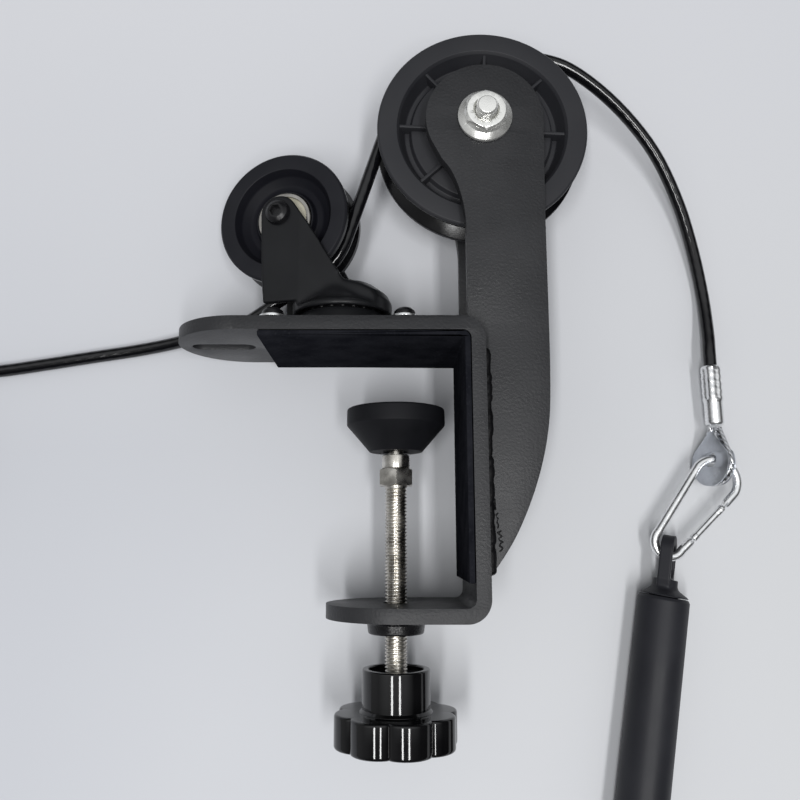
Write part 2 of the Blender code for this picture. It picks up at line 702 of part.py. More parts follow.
def axle(swivel):
    """Button-head bolt through both legs and the sleeve, with a nut at the back."""
    place = (-TRAIL, AXLE_Y, 0)
    outer = LEG_INNER + LEG_THICKNESS + TOUCH
    end = -19.2 * MM
    profile = [(0, outer + 2.8 * MM), (2.4 * MM, outer + 2.8 * MM), (4.2 * MM, outer + 1.9 * MM)]
    profile += [(5 * MM, outer + 0.6 * MM), (5 * MM, outer), (3 * MM, outer), (3 * MM, end), (0, end)]
    bolt = turned("axle_bolt", profile, 20, GLOSS, swivel, place, closed=False)
    socket_low = outer + MM
    socket = prism("axle_socket", 6, 2.2 * MM, socket_low, outer + 4 * MM, None, swivel, place)
    cut(bolt, socket)
    nut = prism("axle_nut", 6, 5.7 * MM, -outer - 4.4 * MM, -outer, SATIN, swivel, place)
    cut(nut, prism("axle_nut_bore", 16, 3.3 * MM, -outer - 6 * MM, -outer + MM, None, swivel, place))
    sleeve = ring(3.3 * MM, 3.95 * MM, -LEG_INNER + TOUCH, LEG_INNER - TOUCH)
    turned("axle_sleeve", sleeve, 16, ZINC, swivel, place)


def small_pulley(swivel):
    place = (-TRAIL, AXLE_Y, 0)
    spin = empty("small_pulley_spin", place, swivel)
    still = empty("small_axle", place, swivel)
    seat = (BEARING_OUTER + TOUCH) / MM
    profile = [(9.6, 0.6), (seat, 0.6), (seat, 7.2), (13, 6.3), (15.4, 6.2), (17.8, 7.2), (20, 9.75)]
    profile += [(25.5, 9.75), (26.3, 8.9), (26.3, 6.9), (24, 3.5), (21.7, 1.2)]
    profile = mirrored([(r * MM, h * MM) for r, h in profile])
    turned("small_pulley", profile, 24, NYLON, spin)
    for name, side in (("front", 1), ("rear", -1)):
        bearing("small", name, side, 4.3 * MM, spin, still)


# Cable


def cable_lean():
    """How far the stretch between the pulleys leans off the upright."""
    lean = math.radians(20)
    for _ in range(20):
        across = PULLEY_X - SWIVEL_X - LARGE_WRAP * math.cos(lean)
        across += (TRAIL - SMALL_WRAP * math.cos(lean)) * math.cos(SWIVEL_REST)
        along = PULLEY_Y - AXLE_Y + (LARGE_WRAP + SMALL_WRAP) * math.sin(lean)
        lean = math.atan2(across, along)
    return lean


def cable_round_pulleys(swivel):
    """Over the large pulley, straight down, and round the small one."""
    lean = cable_lean()
    left = math.pi - lean
    centre = Vector((PULLEY_X, PULLEY_Y, PULLEY_Z))
    straight = 2 * CABLE_RADIUS
    way_off = Vector((math.sin(LAY_OFF), -math.cos(LAY_OFF), 0))
    points = []
    steps = 13
    for step in range(steps + 1):
        angle = LAY_OFF + (left - LAY_OFF) * step / steps
        points.append(centre + LARGE_WRAP * Vector((math.cos(angle), math.sin(angle), 0)))
    points.insert(0, points[0] + way_off * straight)
    wheel = Vector((-TRAIL, AXLE_Y, 0))
    wrap = []
    steps = 4
    for step in range(steps + 1):
        angle = -(lean + (LEAVE_SMALL - lean) * step / steps)
        wrap.append(wheel + SMALL_WRAP * Vector((math.cos(angle), math.sin(angle), 0)))
    down = (swivel_world(wrap[0]) - points[-1]).normalized()
    stretch = (CABLE_SPLIT_Y + TOUCH / 2 - points[-1].y) / down.y
    points += [points[-1] + down * stretch * share for share in (0.5, 1)]
    tube("cable_over_pulley", points, CABLE_RADIUS, 2, JACKET, trainer)
    top_local = swivel_local(points[-1] + down * TOUCH)
    leave = Vector((-math.sin(LEAVE_SMALL), -math.cos(LEAVE_SMALL), 0))
    run = (-FORK_CABLE_REACH - wrap[-1].x) / leave.x
    path = [top_local, top_local.lerp(wrap[0], 0.35), top_local.lerp(wrap[0], 0.7), *wrap]
    path += [wrap[-1] + leave * run * share for share in (0.5, 1)]
    tube("cable_under_pulley", path, CABLE_RADIUS, 2, JACKET, swivel)
    return swivel_world(path[-1] + leave * TOUCH), swivel_turn() @ leave


def swivel_turn():
    return Matrix.Rotation(SWIVEL_REST, 3, "Y")


def swivel_world(point):
    return swivel_turn() @ point + Vector((SWIVEL_X, 0, MID_Z))


def swivel_local(point):
    return swivel_turn().inverted() @ (point - Vector((SWIVEL_X, 0, MID_Z)))


def coil_points():
    """Two layers of a flat spiral, wound in below and out above."""
    per_turn = 24
    turns = COIL_TURNS_IN + 0.5 + COIL_TURNS_OUT
    inner = COIL_RADIUS - COIL_PITCH * COIL_TURNS_IN
    rise = COIL_PITCH
    points = []
    for step in range(round(turns * per_turn) + 1):
        turn = step / per_turn
        if turn < COIL_TURNS_IN:
            radius, lift = COIL_RADIUS - COIL_PITCH * turn, 0.0
        elif turn < COIL_TURNS_IN + 0.5:
            share = (turn - COIL_TURNS_IN) / 0.5
            radius = inner - COIL_PITCH / (2 * math.pi) * math.sin(math.pi * share)
            lift = rise * (1 - math.cos(math.pi * share)) / 2
        else:
            radius, lift = inner + COIL_PITCH * (turn - COIL_TURNS_IN - 0.5), rise
        angle = math.pi / 2 + 2 * math.pi * turn
        points.append(
            Vector(
                (
                    COIL_X + radius * math.cos(angle),
                    COIL_Y + radius * math.sin(angle),
                    COIL_LOW_Z + lift,
                )
            )
        )
    lead = 2 * CABLE_RADIUS
    points.insert(0, points[0] + Vector((lead, 0, 0)))
    points.append(points[-1] + Vector((0, -lead, 0)))
    return points


def least_gap(points, radius):
    """The narrowest clear gap between turns that are not neighbours along the tube."""
    least = 1.0
    apart = 12
    for i, a in enumerate(points):
        for j in range(i + apart, len(points) - 1):
            b, c = points[j], points[j + 1]
            share = (a - b).dot(c - b) / (c - b).length_squared
            near = b.lerp(c, min(1, max(0, share)))
            least = min(least, (a - near).length - 2 * radius)
    return least


def cable_runs(start, way):
    """The free stretches on both sides, the coil and its tie."""
    mm = [(-62, 84.5, 13.4), (-71, 82.3, 10.2), (-81, 80.4, 6.8), (-92, 78.4, 4.2)]
    mm += [(-106, 76.1, 2.9), (-122.5, 73.6, 2.7), (-141, 70.6, 2.7)]
    mm += [(-160, 67.8, 2.7), (-176, 66.8, 2.9), (-190, 66.5, 3.4)]
    coil = coil_points()
    first = coil[0] + Vector((TOUCH, 0, 0))
    straight = 2 * CABLE_RADIUS
    route = [start, start + way * straight, *(Vector(p) * MM for p in mm)]
    route += [first + Vector((straight, 0, 0)), first]
    points = smooth_route(route, 7 * MM)
    tube("cable_left_run", points, CABLE_RADIUS, 2, JACKET, trainer)
    tube("cable_coil", coil, CABLE_RADIUS, 1, JACKET, trainer)
    print(f"cable_coil least gap to itself {least_gap(coil, CABLE_RADIUS) * 1000:.2f} mm")

    first = RIGHT_END + Vector((0, TOUCH, 0))
    mm = [(129, 83, 6.6), (129.3, 99.8, 3.6), (126.1, 119.4, 4.8), (120.3, 138.6, 8)]
    mm += [(110.9, 157.2, 12.6), (98.9, 171.2, 17.4), (84.8, 182.6, 22), (70.4, 190.4, 25.6)]
    mm += [(55, 193.6, 27.2)]
    way_off = Vector((math.sin(LAY_OFF), -math.cos(LAY_OFF), 0))
    top = Vector((PULLEY_X, PULLEY_Y, PULLEY_Z))
    top += LARGE_WRAP * Vector((math.cos(LAY_OFF), math.sin(LAY_OFF), 0))
    top += way_off * (straight + TOUCH)
    route = [first, first + Vector((0, straight, 0)), *(Vector(p) * MM for p in mm)]
    route += [top + way_off * straight, top]
    points = smooth_route(route, 8 * MM)
    tube("cable_right_run", points, CABLE_RADIUS, 2, JACKET, trainer)

    last = coil[-1] + Vector((0, -TOUCH, 0))
    route = [last, last + Vector((0, -straight, 0))]
    route += [Vector((last.x, y * MM, CABLE_END_Z)) for y in (8, 0, -5)]
    points = smooth_route(route, 5 * MM)
    tube("cable_end_run", points, CABLE_RADIUS, 2, JACKET, trainer)
    return route[-1]


def coil_tie():
    """A flat band looped round all the turns on the coil's far side."""
    inner_reach = COIL_RADIUS - COIL_PITCH * COIL_TURNS_IN - CABLE_RADIUS - 0.8 * MM
    outer_reach = COIL_RADIUS + COIL_PITCH / 4 + CABLE_RADIUS + 0.8 * MM
    low, high = COIL_LOW_Z - CABLE_RADIUS - TOUCH, COIL_LOW_Z + COIL_PITCH + CABLE_RADIUS + TOUCH
    band = 0.7 * MM
    length = outer_reach - inner_reach
    height = high - low
    centre = ((inner_reach + outer_reach) / 2, (low + high) / 2)
    outer = rounded_box(length + 2 * band, height + 2 * band, 3 * MM)
    inner = rounded_box(length, height, 2.3 * MM)
    place = (COIL_X, COIL_Y - centre[0], centre[1])
    turn = (math.pi / 2, 0, math.pi / 2)
    plate("coil_tie", [outer, inner], 9 * MM, RUBBER, trainer, place, turn)


def rounded_box(length, height, corner):
    outline = []
    for x, y, start in ((1, 1, 0), (-1, 1, 90), (-1, -1, 180), (1, -1, 270)):
        centre_x, centre_y = x * (length / 2 - corner), y * (height / 2 - corner)
        outline += arc(centre_x, centre_y, corner, start, start + 90, 4)
    return outline


# Cable ends


def eye_path(radius, top, steps=10):
    """A teardrop in local XY: down one side, round the bottom and up the other."""
    neck = 1.6 * MM
    slope = math.degrees(math.atan2(radius - neck, top))
    bottom = arc(0, 0, radius, slope, -180 - slope, steps)
    left, right = [(neck, top), (neck, top - MM)], [(-neck, top - MM), (-neck, top)]
    return [Vector((x, y, 0)) for x, y in left + bottom + right]


def cable_end(side, place):
    """Crimped sleeve, thimble and the bare wire eye round it; local +Y runs up the cable."""
    end = empty(f"cable_end_{side}", place, trainer)
    low = -FERRULE_LENGTH / MM
    sleeve = [(0, 0), (3.4, 0), (4, -0.6), (4, -14), (3.6, -15), (3.6, low + 0.8), (3.1, low), (0, low)]
    sleeve = [(r * MM, y * MM) for r, y in sleeve]
    turned(f"ferrule_{side}", sleeve, 16, ZINC, end, turn=ALONG_Y, closed=False)

    middle = Vector((math.sin(EYE_LEAN), -math.cos(EYE_LEAN), 0)) * EYE_REACH
    middle.y -= FERRULE_LENGTH
    loop = empty(f"eye_{side}", middle, end, (0, EYE_ROLL, EYE_LEAN))
    top = EYE_REACH - 0.9 * MM
    path = eye_path(EYE_RADIUS, top)
    tube(f"wire_eye_{side}", path, WIRE_RADIUS, 1, ZINC, loop)

    wall = 2.4 * MM
    width = 4 * MM
    outlines = []
    for radius, high in ((EYE_RADIUS - 0.1 * MM, top - 4.5 * MM), (EYE_RADIUS - wall, top - 7.5 * MM)):
        outlines.append([(p.x, p.y) for p in eye_path(radius, high, 12)])
    thimble = plate(f"thimble_{side}", outlines, width, ZINC, loop)
    groove = tube_mesh("eye_groove", path, WIRE_RADIUS + TOUCH, 1)
    cut(thimble, add("eye_groove", groove, None, loop))


def carabiner(side, small, large, tilt=0.0):
    """Pear-shaped rod with a sprung gate; local Y runs from its small end to its large one."""
    way = large - small
    heading = math.atan2(way.y, way.x) - math.pi / 2
    hook = empty(f"carabiner_{side}_place", small, trainer, (tilt, 0, heading))
    hook.rotation_mode = "XYZ"
    lean = math.asin((CARABINER_LARGE - CARABINER_SMALL) / CARABINER_REACH)
    slope = math.degrees(lean)
    low = arc(0, 0, CARABINER_SMALL, slope, -180 - slope, 10)
    high = arc(0, CARABINER_REACH, CARABINER_LARGE, 180 - slope, slope, 12)
    nose = (CARABINER_SMALL / math.cos(lean) + math.tan(lean) * GATE_BOTTOM, GATE_BOTTOM)
    hinge = (CARABINER_SMALL / math.cos(lean) + math.tan(lean) * GATE_TOP, GATE_TOP)
    points = [Vector((*p, 0)) for p in [nose, *low, *high, hinge]]
    tube(f"carabiner_{side}", points, ROD_RADIUS, 2, ZINC, hook)

    along = Vector((nose[0] - hinge[0], nose[1] - hinge[1], 0)).normalized()
    pivot = Vector((*hinge, 0)) + along * (GATE_RADIUS + TOUCH)
    length = (Vector((*nose, 0)) - pivot).length - TOUCH
    turn = math.atan2(along.y, along.x) + math.pi / 2
    swing = empty(f"gate_{side}_swing", pivot, hook, (0, 0, turn))
    profile = [*arc(0, 0, GATE_RADIUS, 90, 0, 4), (GATE_RADIUS, -length), (0, -length)]
    turned(f"gate_{side}", profile, 14, ZINC, swing, turn=ALONG_Y, closed=False)


# Handle


def handle():
    """Eye and shoulder on a core, with a round grip over it; local -Y runs down the handle."""
    swing = empty("handle_swing", (SMALL_END.x, SMALL_END.y, HANDLE_RADIUS), trainer)
    swing.rotation_euler = (0, 0, HANDLE_TURN)
    place = (HANDLE_OFFSET, 0, 0)
    grip_top, floor, end = -20.5 * MM, 4 * MM - HANDLE_LENGTH, -HANDLE_LENGTH
    core = [(0, -14), (4.5, -14), (4.5, -17), (8.9, -20), (8.9, -20.2), (5, -20.2)]
    core = [(r * MM, y * MM) for r, y in core] + [(5 * MM, floor), (0, floor)]
    body = turned("handle_core", core, 24, GRIP, swing, place, ALONG_Y, closed=False)
    eye = [(5.6, -14), *arc(0, -3, 5.6, 0, 180, 10), (-5.6, -14), (-4.2, -16.6), (4.2, -16.6)]
    eye = [(x * MM, y * MM) for x, y in eye]
    hole = [(y * MM, x * MM) for x, y in stadium(12.4, 7.2, (-7.4, 0), 5)]
    tongue_turn = (0, math.pi / 2 + EYE_TILT, 0)
    tongue = plate("handle_eye", [eye, hole], 4.6 * MM, None, swing, place, tongue_turn)
    soften(tongue, 1.5 * MM, 2)
    join(body, tongue)

    round_end = 2 * MM
    floor -= TOUCH
    grip = [(0, floor), (5.3 * MM, floor), (5.3 * MM, grip_top)]
    grip += [(HANDLE_RADIUS - 0.6 * MM, grip_top), (HANDLE_RADIUS, grip_top - 0.6 * MM)]
    grip += arc(HANDLE_RADIUS - round_end, end + round_end, round_end, 0, -90, 3)
    grip += [(0, end)]
    turned("handle_grip", grip, 28, GRIP, swing, place, ALONG_Y, closed=False)


def stand_at_origin():
    """Puts the middle of the footprint, without the free cable and what is on it, at the origin."""
    on_cable = ("cable_left", "cable_right", "cable_coil", "cable_end", "coil_tie", "ferrule")
    on_cable += ("thimble", "wire_eye", "carabiner", "gate_left", "gate_right")
    bpy.context.view_layer.update()
    graph = bpy.context.evaluated_depsgraph_get()
    low, high = Vector((9, 9, 9)), Vector((-9, -9, -9))
    for piece in PARTS.objects:
        if piece.type != "MESH" or piece.name.startswith(on_cable):
            continue
        shape = piece.evaluated_get(graph)
        for vertex in shape.data.vertices:
            spot = piece.matrix_world @ vertex.co
            low = Vector(map(min, low, spot))
            high = Vector(map(max, high, spot))
    trainer.location = (-(low.x + high.x) / 2, -(low.y + high.y) / 2, -low.z)
    print(f"footprint {(high.x - low.x) * 1000:.2f} x {(high.y - low.y) * 1000:.2f} mm")
    print(f"moved by {trainer.location.x * 1000:.3f}, {trainer.location.y * 1000:.3f} mm")


def build():
    clamp_frame()
    jaw_pad()
    spin = clamp_screw_group()
    screw_nut()
    knob(spin)
    cheeks()
    pulley_bolt()
    large_pulley()
    caster_plate()
    caster_screws()
    ball_ring()
    swivel = empty("fork_swivel", (SWIVEL_X, 0, MID_Z), trainer, (0, SWIVEL_REST, 0))
    fork(swivel)
    axle(swivel)
    small_pulley(swivel)
    start, way = cable_round_pulleys(swivel)
    left_end = cable_runs(start, way)
    coil_tie()
    left_end.y -= TOUCH
    cable_end("right", RIGHT_END)
    cable_end("left", left_end)
    carabiner("right", SMALL_END, LARGE_END)
    shift = left_end - RIGHT_END
    small = SMALL_END + shift
    small.z = LEFT_SMALL_Z
    carabiner("left", small, LARGE_END + shift, LEFT_TILT)
    handle()
    stand_at_origin()


build()
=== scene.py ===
import math

import bmesh
import bpy
from mathutils import Matrix, Vector


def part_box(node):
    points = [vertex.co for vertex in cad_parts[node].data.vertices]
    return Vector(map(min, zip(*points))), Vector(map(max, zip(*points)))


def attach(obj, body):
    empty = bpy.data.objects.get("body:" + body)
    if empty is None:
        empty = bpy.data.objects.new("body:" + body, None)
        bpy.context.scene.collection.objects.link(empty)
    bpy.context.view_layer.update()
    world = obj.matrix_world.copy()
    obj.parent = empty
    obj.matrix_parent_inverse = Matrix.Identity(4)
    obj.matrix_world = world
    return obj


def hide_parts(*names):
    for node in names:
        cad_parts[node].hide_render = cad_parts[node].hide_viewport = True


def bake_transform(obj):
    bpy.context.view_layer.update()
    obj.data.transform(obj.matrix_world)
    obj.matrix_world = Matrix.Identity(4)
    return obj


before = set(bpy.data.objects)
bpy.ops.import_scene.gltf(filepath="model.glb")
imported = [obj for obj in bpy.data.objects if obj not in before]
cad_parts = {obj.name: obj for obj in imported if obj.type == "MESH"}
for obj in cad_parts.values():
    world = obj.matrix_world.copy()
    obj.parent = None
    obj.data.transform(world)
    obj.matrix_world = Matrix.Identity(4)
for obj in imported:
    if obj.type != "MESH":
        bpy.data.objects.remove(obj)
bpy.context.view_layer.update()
print("frame loaded,", len(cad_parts), "nodes")

mm = 0.001

# Sizes are in mm on the bench, where the photograph's camera stands over x 0, y 0.
# The clamp's strap says how far the bench lies from the model's own origin.
strapCorner = (-80, 77.2)  # the strap's left end and its upper face
middle = 25  # height of the strap's middle over the bench
strapLow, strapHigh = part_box("clamp_bracket")
benchShift = Vector((strapLow.x - strapCorner[0] * mm, strapHigh.y - strapCorner[1] * mm, 0))


def bench(x, y, z=0.0):
    return Vector((x, y, z)) * mm + benchShift


def turned(degrees, axis):
    return Matrix.Rotation(math.radians(degrees), 4, axis)


def shifted(x, y, z):
    return Matrix.Translation((x * mm, y * mm, z * mm))


quarter = Matrix.Rotation(-math.pi / 2, 4, "X")


def standing(x, y, z=0.0):  # local Z points up
    return Matrix.Translation(bench(x, y, z))


def lying(x, y, z=0.0):  # local Z points along the bench's +Y
    return Matrix.Translation(bench(x, y, z)) @ quarter


def newObject(name, data):
    thing = bpy.data.objects.new(name, data)
    bpy.context.scene.collection.objects.link(thing)
    return thing


# Node trees of every kind: a value that is a socket is linked, any other is set


def plug(tree, sockets, values):
    for label, value in dict(values).items():
        if isinstance(value, bpy.types.NodeSocket):
            tree.links.new(value, sockets[label])
        else:
            sockets[label].default_value = value


def wired(tree, kind, values=(), **settings):
    made = tree.nodes.new(kind)
    for key, value in settings.items():
        setattr(made, key, value)
    plug(tree, made.inputs, values)
    return made


def maths(tree, operation, *values, **settings):
    return wired(tree, "ShaderNodeMath", enumerate(values), operation=operation, **settings).outputs[0]


def between(tree, share, one, other, kind="RGBA"):
    values = {"Factor": share, "A": one, "B": other}
    return wired(tree, "ShaderNodeMix", values, data_type=kind).outputs["Result"]


def ranged(tree, value, limits, **settings):
    labels = ("From Min", "From Max", "To Min", "To Max")
    values = {"Value": value, **dict(zip(labels, limits))}
    return wired(tree, "ShaderNodeMapRange", values, **settings).outputs["Result"]


def splitWay(tree, vector):
    return wired(tree, "ShaderNodeSeparateXYZ", {0: vector}).outputs


def newTree(name, kind, inputs, outputs):
    tree = bpy.data.node_groups.new(name, kind)
    for label, socket, *value in inputs:
        made = tree.interface.new_socket(label, in_out="INPUT", socket_type="NodeSocket" + socket)
        if value:
            made.default_value = value[0]
    for label, socket in outputs:
        tree.interface.new_socket(label, in_out="OUTPUT", socket_type="NodeSocket" + socket)
    return tree, tree.nodes.new("NodeGroupInput").outputs, tree.nodes.new("NodeGroupOutput").inputs


def newMaterial(name):
    made = bpy.data.materials.new(name)
    made.use_nodes = True
    return made, made.node_tree, made.node_tree.nodes["Principled BSDF"].inputs


# Camera, floor and light

cameraSetup = {
    "height": 302,
    "tilt": 10.57,  # degrees from straight down
    "focal": 33.75,
    "shift": 9 / 800,
    "floorSize": 1.6,
    # bench colours: painted shade to the left, a plain pale tone to the right, painted light to the north
    "floorShadeLeft": (0.565, 0.58, 0.62, 1),
    "floorRight": (0.63, 0.64, 0.66, 1),
    "floorLitNorth": (0.7, 0.71, 0.745, 1),
    "worldColour": (0.97, 0.985, 1, 1),
    "worldStrength": 0.34,
    "backdrop": 0.9,  # as the camera sees it
    "ceilingNorth": (-0.26, 0.1, 0.1, 0.9),  # from, to, dark, bright
    "ceilingHeight": (0.5, 0.86, 0.03, 1.0),
    "wallLeft": (-0.95, -0.4, 0.3, 0.0),
    "lamps": {"stripLeft": (-0.36, -0.5, 1.45), "stripRight": (0.3, -0.5, 1.5)},
    "lampSize": (0.14, 0.9),
    "lampPower": 9.9,
}


def makeCamera(setup):
    camera = newObject("camera", bpy.data.cameras.new("camera"))
    camera.data.sensor_width = 36
    camera.data.lens = setup["focal"]
    camera.data.shift_x = setup["shift"]
    camera.data.clip_start = 0.01
    camera.location = bench(0, 0, setup["height"])
    camera.rotation_euler = (math.radians(setup["tilt"]), 0, 0)
    bpy.context.scene.camera = camera


def makeFloor(setup):
    size = setup["floorSize"]
    mesh = bpy.data.meshes.new("floor")
    corners = [(-size, -size, 0), (size, -size, 0), (size, size, 0), (-size, size, 0)]
    mesh.from_pydata(corners, [], [(0, 1, 2, 3)])
    floor = newObject("floor", mesh)
    floor.location = (0, 0, -0.2 * mm)

    paint, tree, shader = newMaterial("paleBench")
    coords = wired(tree, "ShaderNodeTexCoord").outputs["Object"]
    way = splitWay(tree, coords)
    # The bench is painted darker to the left, with a noise-swayed border, and lighter to the north: painted
    # shadow and painted light falloff
    shadowEdgeNoise = wired(tree, "ShaderNodeTexNoise", {"Vector": coords, "Scale": 7, "Detail": 2}).outputs["Fac"]
    sway = maths(tree, "MULTIPLY_ADD", shadowEdgeNoise, 0.8, -0.4)
    across = maths(tree, "ADD", ranged(tree, way["X"], (-0.16, 0.14)), sway, use_clamp=True)
    tone = between(tree, across, setup["floorShadeLeft"], setup["floorRight"])
    tone = between(tree, ranged(tree, way["Y"], (0.0, 0.2)), tone, setup["floorLitNorth"])
    plug(tree, shader, {"Base Color": tone, "Roughness": 0.55})
    mesh.materials.append(paint)


def makeWorld(setup):
    world = bpy.data.worlds.new("studio")
    world.use_nodes = True
    bpy.context.scene.world = world
    tree = world.node_tree
    ray = wired(tree, "ShaderNodeLightPath").outputs
    seen = maths(tree, "MAXIMUM", ray["Is Camera Ray"], ray["Is Transmission Ray"])
    level = between(tree, seen, setup["worldStrength"], setup["backdrop"], "FLOAT")

    # metal and gloss show a room: a white ceiling to the north, dark towards the walls
    way = splitWay(tree, wired(tree, "ShaderNodeTexCoord").outputs["Generated"])
    north, height, left = (
        ranged(tree, way[axis], setup[label])
        for axis, label in (("Y", "ceilingNorth"), ("Z", "ceilingHeight"), ("X", "wallLeft"))
    )
    lit = maths(tree, "ADD", maths(tree, "MULTIPLY", north, height), left)
    strength = between(tree, ray["Is Glossy Ray"], level, lit, "FLOAT")
    plug(tree, tree.nodes["Background"].inputs, {"Color": setup["worldColour"], "Strength": strength})


def makeLamps(setup):
    for name, place in setup["lamps"].items():
        lamp = bpy.data.lights.new(name, "AREA")
        lamp.shape = "RECTANGLE"
        lamp.size, lamp.size_y = setup["lampSize"]
        lamp.energy = setup["lampPower"]
        thing = newObject(name, lamp)
        thing.location = place
        thing.rotation_euler = (math.atan2(-place[1], place[2]), math.atan2(place[0], place[2]), 0)


makeCamera(cameraSetup)
makeFloor(cameraSetup)
makeWorld(cameraSetup)
makeLamps(cameraSetup)
bpy.context.scene.view_settings.view_transform = "Standard"
print("camera, floor and light made")


# Materials


# Fine grain for bump, and slow blotches for colour and roughness, in object coordinates
def makeGrainGroup():
    inputs = [
        ("Dark", "Color", (0.02, 0.02, 0.02, 1)),
        ("Light", "Color", (0.04, 0.04, 0.04, 1)),
        ("Grain Size", "Float", 0.5),
        ("Grain Depth", "Float", 0.05),
        ("Blotch Size", "Float", 12.0),
        ("Smooth", "Float", 0.4),
        ("Rough", "Float", 0.6),
        ("Speckle", "Float", 0.0),
    ]
    outputs = [("Color", "Color"), ("Roughness", "Float"), ("Normal", "Vector")]
    tree, given, result = newTree("fineGrain", "ShaderNodeTree", inputs, outputs)
    coords = wired(tree, "ShaderNodeTexCoord").outputs["Object"]

    def pattern(label, **values):  # noise whose size is in mm
        scale = maths(tree, "DIVIDE", 1 / mm, given[label])
        values = {"Vector": coords, "Scale": scale, **values}
        return wired(tree, "ShaderNodeTexNoise", values).outputs["Fac"]

    grain = pattern("Grain Size", Detail=3, Roughness=0.6)
    slow = ranged(tree, pattern("Blotch Size", Detail=4), (0.3, 0.7))
    fleck = maths(tree, "MULTIPLY", ranged(tree, grain, (0.56, 0.72)), given["Speckle"])
    shade = maths(tree, "ADD", slow, fleck, use_clamp=True)
    depth = maths(tree, "MULTIPLY", given["Grain Depth"], mm)
    bump = wired(tree, "ShaderNodeBump", {"Height": grain, "Distance": depth}).outputs["Normal"]
    rough = ranged(tree, slow, (0, 1, given["Smooth"], given["Rough"]))
    colour = between(tree, shade, given["Dark"], given["Light"])
    plug(tree, result, {"Color": colour, "Roughness": rough, "Normal": bump})
    return tree


# Rubbed patches where a noise mask allows them
def makeScuffGroup():
    inputs = [("Size", "Float", 4.0), ("Amount", "Float", 0.3)]
    tree, given, result = newTree("scuffMask", "ShaderNodeTree", inputs, [("Mask", "Float")])
    coords = wired(tree, "ShaderNodeTexCoord").outputs["Object"]
    scale = maths(tree, "DIVIDE", 1 / mm, given["Size"])
    values = {"Vector": coords, "Scale": scale, "Detail": 6, "Roughness": 0.7}
    pattern = wired(tree, "ShaderNodeTexNoise", values).outputs["Fac"]
    cut = ranged(tree, pattern, (0.55, 0.75), interpolation_type="SMOOTHSTEP")
    plug(tree, result, {"Mask": maths(tree, "MULTIPLY", cut, given["Amount"])})
    return tree


# Strands under a cable's jacket, from the UV map laid along it: U in mm, V once round
def makeLayGroup():
    inputs = [("Strands", "Float", 6.0), ("Lay", "Float", 26.0)]
    tree, given, result = newTree("strandLay", "ShaderNodeTree", inputs, [("Height", "Float")])
    way = splitWay(tree, wired(tree, "ShaderNodeUVMap", uv_map="lay").outputs[0])
    turn = maths(tree, "ADD", maths(tree, "DIVIDE", way["X"], given["Lay"]), way["Y"])
    phase = maths(tree, "MULTIPLY", maths(tree, "MULTIPLY", turn, given["Strands"]), math.tau)
    plug(tree, result, {"Height": maths(tree, "SINE", phase)})
    return tree


grainGroup = makeGrainGroup()
scuffGroup = makeScuffGroup()
layGroup = makeLayGroup()

